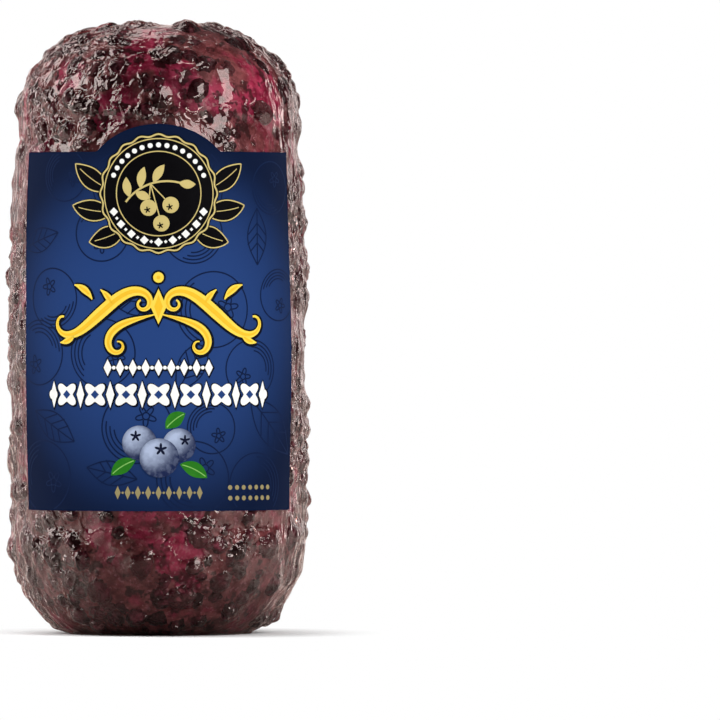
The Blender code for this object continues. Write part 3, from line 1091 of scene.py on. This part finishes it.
# %% The finishes of the inks
# Each ink is two near shades, and the scale of the mottle that mixes them where it isn't the usual.
INKS = {
    "navy_ink": ((0.0050, 0.0135, 0.052), (0.0035, 0.009, 0.035)),
    "black_ink": ((0.0025, 0.0022, 0.0030), (0.005, 0.005, 0.007)),
    "gold_ink": ((0.58, 0.47, 0.18), (0.42, 0.32, 0.11)),
    "bead_ink": ((0.85, 0.85, 0.82), (0.7, 0.7, 0.68)),
    "outline_ink": ((0.004, 0.006, 0.012), (0.006, 0.010, 0.020)),
    "yellow_ink": ((0.93, 0.66, 0.075), (0.95, 0.74, 0.16)),
    "orange_ink": ((0.88, 0.52, 0.030), (0.86, 0.45, 0.020)),
    "shadow_ink": ((0.003, 0.004, 0.008), (0.005, 0.007, 0.014)),
    "white_ink": ((0.88, 0.88, 0.85), (0.76, 0.77, 0.76)),
    "blue_ink": ((0.018, 0.05, 0.18), (0.012, 0.034, 0.13)),
    "berry_ink": ((0.012, 0.020, 0.070), (0.40, 0.47, 0.64), 1400),
    "crown_ink": ((0.006, 0.008, 0.025), (0.02, 0.03, 0.07)),
    "leaf_ink": ((0.020, 0.17, 0.012), (0.10, 0.36, 0.045), 500),
    "rib_ink": ((0.22, 0.50, 0.12), (0.16, 0.42, 0.08)),
    "dull_gold_ink": ((0.30, 0.25, 0.12), (0.22, 0.18, 0.08)),
}


def ink_finish(name, first, second, scale=900):
    """Ink on satin paper: two near shades, mixed by fine noise and by the tone of each place."""
    finish = Finish(name)
    mottle = finish.speckle(scale, 3).ramp(0.42, 0.62) * 0.12
    colour = finish.blend(mottle + finish.attribute("tone"), first, second)
    return finish.principled(colour, 0.5, 0.03, finish.bump(finish.speckle(2500, 3), 0.004 * MM))


INK_FINISHES = {name: ink_finish(name, *shades) for name, shades in INKS.items()}
print("inks:", len(INK_FINISHES))

# %% An ink: all shapes of one colour
LAYER = 0.02 * MM
FILL_STEP, THINNEST = 0.8 * MM, 0.03 * MM


class Ink:
    """Thin sheets in label coordinates, gathered shape by shape and made into one piece at the end."""

    def __init__(self, name, layer, ink):
        self.name, self.lift, self.finish = name, layer * LAYER, INK_FINISHES[ink]
        self.points, self.faces, self.tones = [], [], []
        self.count = 0

    def add(self, points, faces, tones=None):
        """Adds a shape: its points, the faces between them, and a tone for each if it isn't plain."""
        self.points.append(points)
        self.faces += [[corner + self.count for corner in face] for face in faces]
        self.tones.append(np.zeros(len(points)) if tones is None else tones)
        self.count += len(points)

    def stroke(self, path, width, steps=1):
        """A band along a path, half its width to each side. The width may change on the way."""
        half = np.broadcast_to(np.maximum(width, THINNEST) / 2, len(path))[:, None]
        share = np.linspace(-1, 1, steps + 1)[:, None, None]
        band = path + left_of(path) * half * share
        self.add(band.reshape(-1, 2), grid_faces(steps + 1, len(path), False).tolist())

    def leaf(self, axis, width):
        """A pointed leaf on its axis."""
        self.stroke(axis, width * half_wave(len(axis)), 3)

    def filled(self, outline, middle=None, shade=None):
        """Everything inside a closed curve: rings of it drawn in towards the middle, and a fan."""
        outline = outline[:-1]
        middle = outline.mean(0) if middle is None else np.array(middle)
        rings = max(1, math.ceil(np.linalg.norm(outline - middle, axis=1).max() / FILL_STEP))
        share = (np.arange(rings) + 1)[::-1, None, None] / rings
        points = np.concatenate([(middle + (outline - middle) * share).reshape(-1, 2), [middle]])
        column = np.arange(len(outline))
        inner = (rings - 1) * len(outline)
        fan = np.stack([inner + column, inner + np.roll(column, -1), 0 * column + len(points) - 1], -1)
        faces = grid_faces(rings, len(outline), True).tolist() + fan.tolist()
        self.add(points, faces, None if shade is None else shade(points))

    def piece(self):
        """Bends all shapes round the log, over the paper, and makes them one object."""
        flat = np.concatenate(self.points)
        bent = on_label(flat[:, 0], flat[:, 1], LABEL_THICKNESS + self.lift)
        made = new_piece(self.name, bent, self.faces, self.finish, {"tone": np.concatenate(self.tones)})
        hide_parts("label")


# %% [markdown]
# Behind everything, berries and leaves are drawn in thin navy lines: a rim, a five-pointed crown and
# a few arcs of shading. Their places are a loose grid, moved a little by a seeded draw, and each line
# is cut where it would leave the label.

# %% Navy line drawings
DRAWING_SEED = 5
LINE = 0.20 * MM
DRAWN_COLUMNS, DRAWN_ROWS = 4, 6
DRAWN_SHIFT, DRAWN_SIZE = 1.3 * MM, (3.6, 5.4)


def runs_on_label(path):
    """The stretches of a path that lie on the label, each of three points or more."""
    inside = np.abs(path[:, 0]) < LABEL_WIDTH / 2 - LINE
    inside &= (path[:, 1] > LINE) & (path[:, 1] < LABEL_HEIGHT - LINE)
    breaks = np.flatnonzero(np.diff(inside.astype(int))) + 1
    stretches = np.split(np.arange(len(path)), breaks)
    return [path[run] for run in stretches if inside[run[0]] and len(run) > 2]


def drawn_berry(middle, radius, spin):
    """Curves of one berry: rim, crown, the pit in it, and arcs of shading on the far side."""
    crown = middle + 0.42 * radius * towards(math.radians(spin))
    lines = [circle(middle, radius, 60), lobed(crown, 0.30 * radius, 5, 0.30, math.radians(spin))]
    lines.append(circle(crown, 0.10 * radius, 16))
    for share in (0.88, 0.76, 0.64):
        reach = 70 * share
        lines.append(arc(middle, share * radius, spin + 180 - reach, spin + 180 + reach))
    return lines


def drawn_leaf(middle, length, heading):
    """Curves of one leaf: two bowed edges, the rib, and side veins."""
    ahead, side = towards(np.radians([heading, heading + 90]))
    share = np.linspace(0, 1, 24)[:, None]
    rib = middle + ahead * length * (share - 0.5)
    bow = 0.22 * length * np.sin(math.pi * share)
    lines = [rib, rib + side * bow, rib - side * bow]
    for k in (6, 10, 14):
        reach = np.linspace(0, 1, 5)[:, None] * bow[k + 3]
        lines += [rib[k] + reach * (ahead + way * side) for way in (-1, 1)]
    return lines


def navy_drawings():
    """A berry or a leaf at each place of the loose grid, with every line cut at the label's edge."""
    ink = Ink("label_navy_drawings", 1, "navy_ink")
    draw = random.Random(DRAWING_SEED)
    for row, column in np.ndindex(DRAWN_ROWS, DRAWN_COLUMNS):
        across = (column + 0.5) / DRAWN_COLUMNS - 0.5 + (row % 2 - 0.5) * 0.08
        middle = np.array([across * LABEL_WIDTH, (row + 0.5) / DRAWN_ROWS * LABEL_HEIGHT])
        middle = middle + np.array([draw.uniform(-1, 1), draw.uniform(-1, 1)]) * DRAWN_SHIFT
        size, spin = draw.uniform(*DRAWN_SIZE) * MM, draw.uniform(0, 360)
        leafy = (row + column) % 3 == 1
        lines = drawn_leaf(middle, 2.1 * size, spin) if leafy else drawn_berry(middle, size, spin)
        for line in lines:
            for run in runs_on_label(line):
                ink.stroke(run, LINE)
    ink.piece()


navy_drawings()

# %% [markdown]
# The seal on the tab is a black disc with a softly scalloped edge between fans of black leaves. Gold
# rings, a ring of small white beads above and lozenges below, and a gold sprig with three berries
# fill it. Gold here is an ink, so it is a dull yellow and not metal. The disc lies over the leaves,
# and all that is printed on it lies a layer higher again.

# %% The seal
SEAL_MIDDLE = np.array([0.0, 44.7 * MM])
SEAL_RADIUS = 8.5 * MM
GOLD_LINE, THIN_GOLD, LEAF_RIM, LEAF_RIB = 0.24 * MM, 0.15 * MM, 0.17 * MM, 0.12 * MM
BEAD_RING = 0.805 * SEAL_RADIUS
BEAD, LARGE_LOZENGE, SMALL_LOZENGE = 0.36 * MM, 0.62 * MM, 0.26 * MM
SEAL_LEAF_WIDTH, SEAL_LEAF_RIM = 3.3 * MM, 1.45 * MM


def seal_leaves():
    """Axes of the leaves that fan out from the seal's lower sides."""
    axes = []
    for way in (-1, 1):
        for heading, start, length in ((24, 4, 8.2), (-2, -22, 8.0), (-30, -46, 7.0)):
            toward = heading if way > 0 else 180 - heading
            root = start if way > 0 else 180 - start
            begin = SEAL_MIDDLE + 0.80 * SEAL_RADIUS * towards(math.radians(root))
            axes.append(leaf_axis(begin, toward, length * MM * 0.82, way * 0.35))
    return axes


def sprig():
    """The sprig's stem, the axes of its leaves and the middles of its berries."""
    stem = SEAL_MIDDLE + MM * winding((-4.6, -1.2), 54, 8.6, lambda share: -0.14 + 0 * share, 40)
    leaves = []
    for knot, turn, length in ((4, 64, 2.9), (13, 60, 3.1), (22, 56, 3.0), (9, -70, 2.3), (38, -4, 2.4)):
        ahead = stem[knot + 1] - stem[knot - 1]
        heading = math.degrees(math.atan2(ahead[1], ahead[0])) + turn
        leaves.append(leaf_axis(stem[knot], heading, length * MM, -0.4 if turn > 0 else 0.4))
    berries = SEAL_MIDDLE + MM * np.array([(-1.4, -2.0), (1.7, -1.6), (0.4, -4.2)])
    return stem, leaves, berries


def leaf_fans(black, gold):
    """Black leaves, each with a gold rim and rib."""
    for axis in seal_leaves():
        black.leaf(axis, SEAL_LEAF_WIDTH)
        aside = left_of(axis) * SEAL_LEAF_RIM * half_wave(len(axis))[:, None]
        for rim in (axis - aside, axis + aside):
            gold.stroke(rim, LEAF_RIM)
        gold.stroke(axis[1:-2], LEAF_RIB)


def beads_and_lozenges(white):
    """Beads round the upper side of the seal, and lozenges by turns large and small round the lower."""
    for angle in np.radians(np.arange(22, 160, 9.7)):
        white.filled(circle(SEAL_MIDDLE + BEAD_RING * towards(angle), BEAD, 14))
    for number, angle in enumerate(np.radians(np.linspace(202, 338, 17))):
        size = SMALL_LOZENGE if number % 2 else LARGE_LOZENGE
        white.filled(lozenge(SEAL_MIDDLE + BEAD_RING * towards(angle), size, size))


def seal():
    """The leaf fans, the disc on them, and the rings, beads and sprig on the disc."""
    black = Ink("label_black_seal", 2, "black_ink")
    gold = Ink("label_gold_lines", 3, "gold_ink")
    disc = Ink("label_black_disc", 3.5, "black_ink")
    rings = Ink("label_gold_rings", 4.5, "gold_ink")
    white = Ink("label_white_beads", 4.5, "bead_ink")
    crowns = Ink("label_black_crowns", 5.5, "black_ink")
    leaf_fans(black, gold)
    disc.filled(lobed(SEAL_MIDDLE, SEAL_RADIUS * 1.02, 20, 0.02, count=160), SEAL_MIDDLE)
    rings.stroke(lobed(SEAL_MIDDLE, SEAL_RADIUS * 0.985, 20, 0.02, count=160), GOLD_LINE)
    for share in (0.91, 0.70):
        rings.stroke(circle(SEAL_MIDDLE, share * SEAL_RADIUS, 90), THIN_GOLD)
    beads_and_lozenges(white)
    stem, leaves, berries = sprig()
    rings.stroke(stem, 0.28 * MM)
    for axis in leaves:
        rings.leaf(axis, 1.25 * MM)
    for middle in berries:
        rings.filled(circle(middle, 1.15 * MM, 30))
        rings.stroke(np.linspace(middle, stem[20], 8), 0.16 * MM)
        crowns.filled(lobed(middle + MM * np.array([-0.15, -0.30]), 0.50 * MM, 5, 0.35, 0.5, 30))
    for ink in (black, gold, disc, rings, white, crowns):
        ink.piece()


seal()

# %% [markdown]
# The scroll in the middle is drawn as a pen would: a path whose curvature swings from one side to the
# other and tightens at both ends, with a stroke that swells halfway. The same path is inked three
# times, dark and wide, yellow, and orange and narrow, which gives it an outline and a soft bevel.

# %% The yellow scroll
SCROLL_MIDDLE_UP = 27.6 * MM
SCROLL_OUTLINE, SCROLL_SHADOW = 0.62 * MM, 0.08 * MM


def fitted(path, left, right, middle_up, tilt):
    """Turns a path by its tilt in degrees and scales it to lie between two places across."""
    cos, sin = math.cos(math.radians(tilt)), math.sin(math.radians(tilt))
    turned = path @ np.array([[cos, sin], [-sin, cos]])
    lowest, highest = turned.min(0), turned.max(0)
    scale = (right - left) / (highest[0] - lowest[0])
    moved = (turned - (lowest + highest) / 2) * scale
    return moved + np.array([(left + right) / 2, middle_up])


def pen_width(count, widest):
    """Thin at both ends and widest halfway: a half sine wave."""
    return widest * (0.16 + 0.84 * np.sin(np.linspace(0, math.pi, count)) ** 1.3)


def both_ways(share):
    """Curvature that changes sides nearly halfway and tightens towards both ends."""
    return 34 * np.sign(share - 0.46) * np.abs(2 * share - 0.92) ** 2.2


def one_way(share):
    """Curvature that tightens towards the end."""
    return -22 * share**2.4


def scroll_strokes():
    """Paths and widths of the scroll's right half, then the same ones mirrored."""
    double_curl, single_curl = winding((0, 0), 0, 1, both_ways, 160), winding((0, 0), 0, 1, one_way, 110)
    right = [
        (fitted(double_curl, 1.2 * MM, 15.4 * MM, SCROLL_MIDDLE_UP + 0.3 * MM, 18), 1.7 * MM),
        (fitted(single_curl, 0.6 * MM, 7.2 * MM, SCROLL_MIDDLE_UP - 2.6 * MM, -14), 1.1 * MM),
    ]
    for across, above, heading, length, bend, width in (
        (9.6, 2.2, 62, 3.6, -0.9, 1.0), (6.4, 0.9, 74, 3.4, -0.7, 0.9), (12.3, -2.6, -52, 3.0, 0.9, 0.9),
    ):
        start = (across * MM, SCROLL_MIDDLE_UP + above * MM)
        right.append((leaf_axis(start, heading, length * MM, bend), width * MM))
    return right + [(path * [-1, 1], width) for path, width in right]


def scroll():
    """Every stroke in three inks, then a lozenge and a bead in the middle."""
    dark = Ink("label_scroll_outline", 2, "outline_ink")
    yellow = Ink("label_scroll_yellow", 3, "yellow_ink")
    orange = Ink("label_scroll_orange", 4, "orange_ink")
    for path, widest in scroll_strokes():
        width = pen_width(len(path), widest)
        dark.stroke(path + np.array([SCROLL_SHADOW, -SCROLL_SHADOW]), width + SCROLL_OUTLINE)
        yellow.stroke(path, width)
        trim = 6 if len(path) > 20 else 3
        orange.stroke(path[trim:-trim], 0.36 * width[trim:-trim])
    middle = np.array([0, SCROLL_MIDDLE_UP + 1.2 * MM])
    for ink, grow in ((dark, 0.32 * MM), (yellow, 0.0), (orange, -0.55 * MM)):
        ink.filled(lozenge(middle, 1.15 * MM + grow, 2.5 * MM + 1.6 * grow))
        ink.filled(circle(middle + np.array([0, 4.1 * MM]), 0.75 * MM + 0.9 * grow, 24))
        ink.piece()


scroll()

# %% [markdown]
# Under the scroll come two rows of white ornaments: a small one of lozenges and beads, and a bold
# one of four-petalled rosettes between bars. Each has a dark copy of itself, a little larger, lower
# and further right, as a drop shadow.

# %% White rows
SHADOW_GROW, SHADOW_DROP = 0.24 * MM, 0.12 * MM
SMALL_ROW_UP, SMALL_ROW_STEP = 20.2 * MM, 1.82 * MM
BOLD_ROW_UP, BOLD_ROW_STEP, BOLD_ROW_END = 16.4 * MM, 4.6 * MM, 16.2 * MM


def places_in_row(count, step, up):
    """Middles of this many shapes, a step apart, in a level row about the label's middle line."""
    return [(k * step, up) for k in np.arange(count) - (count - 1) / 2]


def lozenges_and_beads(up, step, half_width, half_height, bead, sides, grow=0.0):
    """Outlines of nine lozenges in a row with a bead between each two, all grown a little."""
    shapes = []
    for place in places_in_row(9, step, up):
        shapes.append(lozenge(place, half_width + grow, half_height + 1.3 * grow))
    for place in places_in_row(8, step, up):
        shapes.append(circle(place, bead + 0.8 * grow, sides))
    return shapes


def white_outlines(grow):
    """Outlines of all the white shapes: the small row, then rosettes, bars and end beads."""
    shapes = lozenges_and_beads(SMALL_ROW_UP, SMALL_ROW_STEP, 0.60 * MM, 1.18 * MM, 0.27 * MM, 14, grow)
    for place in places_in_row(7, BOLD_ROW_STEP, BOLD_ROW_UP):
        shapes.append(lobed(place, 1.98 * MM + grow, 4, 0.24, math.pi / 4, 60))
    for place in places_in_row(8, BOLD_ROW_STEP, BOLD_ROW_UP):
        shapes.append(lozenge(place, 0.62 * MM + grow, 1.9 * MM + 1.3 * grow))
    for way in (-1, 1):
        shapes.append(circle((way * BOLD_ROW_END, BOLD_ROW_UP), 0.75 * MM + grow, 20))
    return shapes


def white_rows():
    """The white shapes, their shadows below, and a blue eye in each rosette."""
    shadow = Ink("label_row_shadow", 2, "shadow_ink")
    white = Ink("label_white_rows", 3, "white_ink")
    blue = Ink("label_row_eyes", 4, "blue_ink")
    for outline in white_outlines(SHADOW_GROW):
        shadow.filled(outline + np.array([SHADOW_DROP, -SHADOW_DROP]) / 2)
    for outline in white_outlines(0.0):
        white.filled(outline)
    for place in places_in_row(7, BOLD_ROW_STEP, BOLD_ROW_UP):
        blue.filled(lozenge(place, 0.62 * MM, 0.62 * MM))
    for ink in (shadow, white, blue):
        ink.piece()


white_rows()

# %% [markdown]
# The small picture shows three blueberries and three leaves. A printed berry is a disc shaded as a
# ball: how far its made-up surface faces the light at each place is stored as a tone, and the ink
# mixes from midnight blue to the pale grey-blue of the bloom by it.

# %% Blueberries and leaves
PICTURE_LIGHT = np.array([-0.42, 0.55, 0.72])
# Start, heading, length and bend of each leaf, then middle, radius and direction of crown of each
# berry, from back to front. Lengths are in mm.
PICTURE_LEAVES = (((-3.2, 7.2), 197, 4.2, 0.5), ((3.0, 6.6), -12, 4.4, -0.5), ((1.0, 11.6), 52, 3.6, -0.5))
PICTURE_BERRIES = (((-2.7, 9.6), 2.45, 118), ((2.9, 9.3), 2.35, 40), ((0.1, 7.5), 2.75, 80))


def ball_shade(middle, radius):
    """Tone of a ball in print: its surface's direction times the light's, to a power for the bloom."""
    def shade(points):
        flat = (points - middle) / radius
        depth = np.sqrt(np.maximum(1 - (flat**2).sum(-1), 0))
        facing = np.concatenate([flat, depth[:, None]], -1) @ PICTURE_LIGHT
        return np.clip(facing, 0, 1) ** 1.6
    return shade


def blueberries():
    """Leaves with their ribs, then the berries, each two layers over the one before."""
    leaf_ink = Ink("label_leaves", 2, "leaf_ink")
    rib_ink = Ink("label_leaf_ribs", 3, "rib_ink")
    for start, heading, length, bend in PICTURE_LEAVES:
        axis = leaf_axis(np.array(start) * MM, heading, length * MM, bend)
        leaf_ink.leaf(axis, 2.1 * MM)
        rib_ink.stroke(axis[1:-1], 0.14 * MM)
    leaf_ink.piece()
    rib_ink.piece()
    for number, (place, size, crown_turn) in enumerate(PICTURE_BERRIES):
        middle, radius = np.array(place) * MM, size * MM
        berry = Ink(f"label_blueberry_{number + 1}", 4 + 2 * number, "berry_ink")
        berry.filled(circle(middle, radius, 56), middle, ball_shade(middle, radius))
        berry.piece()
        crown = Ink(f"label_blueberry_crown_{number + 1}", 5 + 2 * number, "crown_ink")
        centre = middle + 0.45 * radius * towards(math.radians(crown_turn))
        crown.filled(lobed(centre, 0.33 * radius, 5, 0.34, 0.3, 40), centre)
        crown.piece()


blueberries()

# %% [markdown]
# At the foot of the label, in dull gold, come a rule of lozenges and beads, which is the small
# white row again in another size, and two short rows of dots on the right.

# %% Gold rules near the foot
RULE_UP, RULE_STEP = 2.6 * MM, 1.45 * MM
DOT, DOT_STEP, DOTS_ASIDE, DOT_ROWS = 0.34 * MM, 1.12 * MM, 13.76 * MM, (3.3 * MM, 1.8 * MM)


def gold_rules():
    """The rule and the dots, as one ink."""
    gold = Ink("label_gold_rules", 2, "dull_gold_ink")
    for outline in lozenges_and_beads(RULE_UP, RULE_STEP, 0.42 * MM, 0.95 * MM, 0.17 * MM, 10):
        gold.filled(outline)
    for up in DOT_ROWS:
        for place in places_in_row(7, DOT_STEP, up):
            gold.filled(circle(place + np.array([DOTS_ASIDE, 0]), DOT, 14))
    gold.piece()


gold_rules()

# %% [markdown]
# ## Floor, light and camera
#
# The photograph is a product shot on white. The paper below and behind is so bright that it shows
# as plain white but for a soft contact shadow, and the room before the log is dark. That darkness
# matters as much as the light: head on, the film mirrors it and stays clear, while the sides mirror
# the white behind and go pale. Each kind of ray therefore sees what suits it: the camera sees
# white, gloss sees a floor and a room that brighten from front to back, and dull things get a faint
# even light from all round.

# %% The floor
FLOOR_HALF = 2.0
PAPER_UP_TO, WHITE_FROM = 0.020, 0.033
DIM_UP_TO, BRIGHT_FROM, SIDEWAYS = -0.018, 0.038, 1.15


def floor_finish():
    """Lit white paper near the log, which fades into plain white further off, and dim in mirrors."""
    finish = Finish("white_floor")
    place = finish.node("ShaderNodeTexCoord", output="Object")
    away = finish.node("ShaderNodeVectorMath", {"operation": "LENGTH"}, {0: place}, output="Value")
    paper = finish.node("ShaderNodeBsdfDiffuse", inputs={"Color": (0.95, 0.95, 0.95, 1)})
    glow = finish.node("ShaderNodeEmission", inputs={"Color": (1, 1, 1, 1)})
    seen = finish.either(away.ramp(PAPER_UP_TO, WHITE_FROM), paper, glow)
    x, y, _ = finish.xyz(place)
    bright = (y + abs(x) * SIDEWAYS).ramp(DIM_UP_TO, BRIGHT_FROM)
    shade = finish.blend(bright, (0.12, 0.11, 0.10), (0.78, 0.74, 0.70))
    dim = finish.node("ShaderNodeBsdfDiffuse", inputs={"Color": shade})
    dimmed = finish.ray("Glossy") + finish.ray("Diffuse") * 0.25
    return finish.surface(finish.either(dimmed, seen, dim))


def floor_piece():
    """A square of white paper, many times as wide as the log."""
    mesh = bpy.data.meshes.new("floor")
    corners = [(x * FLOOR_HALF, y * FLOOR_HALF, 0) for x, y in ((-1, -1), (1, -1), (1, 1), (-1, 1))]
    mesh.from_pydata(corners, [], [(0, 1, 2, 3)])
    mesh.materials.append(floor_finish())
    floor = bpy.data.objects.new("floor", mesh)
    bpy.context.scene.collection.objects.link(floor)


floor_piece()

# %% The room as light
AMBIENT = 0.38


def room():
    """White to the camera, even and faint to dull things, and to gloss white behind the log only."""
    nodes = Nodes(bpy.data.worlds.new("room"), "ShaderNodeOutputWorld")
    _, behind, above = nodes.xyz(nodes.node("ShaderNodeTexCoord", output="Generated"))
    strength = behind.ramp(0.10, 0.72, 0.01, 1.25) * above.ramp(0.20, 0.60, 1.0, 0.12)
    mirrored = nodes.node("ShaderNodeBackground", inputs={"Strength": strength})
    ambient = nodes.node("ShaderNodeBackground", inputs={"Strength": AMBIENT})
    seen = nodes.node("ShaderNodeBackground", inputs={"Color": (1, 1, 1, 1)})
    light = nodes.either(nodes.ray("Diffuse"), mirrored, ambient)
    return nodes.surface(nodes.either(nodes.ray("Camera"), light, seen))


bpy.context.scene.world = room()
bpy.context.scene.view_settings.view_transform = "Standard"

# %% [markdown]
# A large softbox stands to the right of the front and another on the left, with smaller ones above
# and behind. Tall narrow ones a little behind each side draw the long highlights there, and three
# low ones make the glints near the foot. The two broad fills aren't mirrored: they stand for what
# far white walls add to dull surfaces.

# %% Softboxes
LIGHT_AIM = LOG_HEIGHT / 2


def softbox(name, azimuth, elevation, distance, size, radiance, mirrored=True):
    """A rectangular light at an azimuth right of the front and an elevation, aimed at the log.

    It looks equally bright from everywhere: its power is radiance x area x pi.
    """
    turn, lift = math.radians(azimuth), math.radians(elevation)
    light = bpy.data.lights.new(name, "AREA")
    light.shape = "RECTANGLE"
    light.size, light.size_y = size
    light.energy = radiance * size[0] * size[1] * math.pi
    lamp = bpy.data.objects.new(name, light)
    flat = distance * math.cos(lift)
    lamp.location = (flat * math.sin(turn), -flat * math.cos(turn), LIGHT_AIM + distance * math.sin(lift))
    lamp.rotation_euler = (math.radians(90) - lift, 0, turn)
    lamp.visible_camera = False
    lamp.visible_glossy = mirrored
    bpy.context.scene.collection.objects.link(lamp)


softbox("key", 48, 33, 0.80, (0.50, 0.56), 4.6)
softbox("left_box", -80, 40, 0.80, (0.46, 0.46), 5.2)
softbox("top_box", -90, 72, 0.75, (0.18, 0.22), 5.0)
softbox("back_box", 195, 50, 0.80, (0.46, 0.28), 1.8)
softbox("left_strip", -106, 4, 0.70, (0.14, 0.60), 5.0)
softbox("right_strip", 126, 2, 0.70, (0.12, 0.60), 4.0)
softbox("right_low", 34, -1, 0.80, (0.40, 0.06), 8.0)
softbox("left_low", -64, 4, 0.80, (0.16, 0.16), 4.5)
softbox("left_foot", -92, -1, 0.80, (0.26, 0.07), 6.0)
softbox("front_fill", 5, 0, 0.90, (0.90, 0.70), 0.60, mirrored=False)
softbox("overhead_fill", 0, 85, 0.80, (0.60, 0.60), 1.2, mirrored=False)
print("softboxes:", len(bpy.data.lights))

# %% [markdown]
# The camera is far off and almost level, as for a catalogue. It stands before the log and is turned
# aside, so that the log lies left of the middle, as in the photograph. PIXEL is the photograph's
# scale: the width that one pixel covers at the log's axis.

# %% The camera
PIXEL = 0.1426 * MM
IMAGE_SIZE = 720
LOG_COLUMN, FLOOR_ROW = 158.5, 633
CAMERA_DISTANCE, CAMERA_ELEVATION = 1.6, 0.4
SENSOR = 36.0


def place_camera():
    """Aims at the point that the middle of the photograph shows, in the upright plane of the axis."""
    beside = (IMAGE_SIZE / 2 - LOG_COLUMN) * PIXEL
    above = (FLOOR_ROW - IMAGE_SIZE / 2) * PIXEL
    tilt = math.radians(CAMERA_ELEVATION)
    camera_data = bpy.data.cameras.new("camera")
    camera_data.sensor_width = SENSOR
    camera_data.lens = SENSOR * CAMERA_DISTANCE / (IMAGE_SIZE * PIXEL)
    camera_data.clip_start, camera_data.clip_end = 0.05, 20
    camera = bpy.data.objects.new("camera", camera_data)
    camera.location = (0, -CAMERA_DISTANCE * math.cos(tilt), above + CAMERA_DISTANCE * math.sin(tilt))
    camera.rotation_euler = (math.radians(90) - tilt, 0, -math.atan2(beside, CAMERA_DISTANCE))
    bpy.context.scene.collection.objects.link(camera)
    bpy.context.scene.camera = camera
    print("lens:", round(camera_data.lens, 1), "mm")


place_camera()
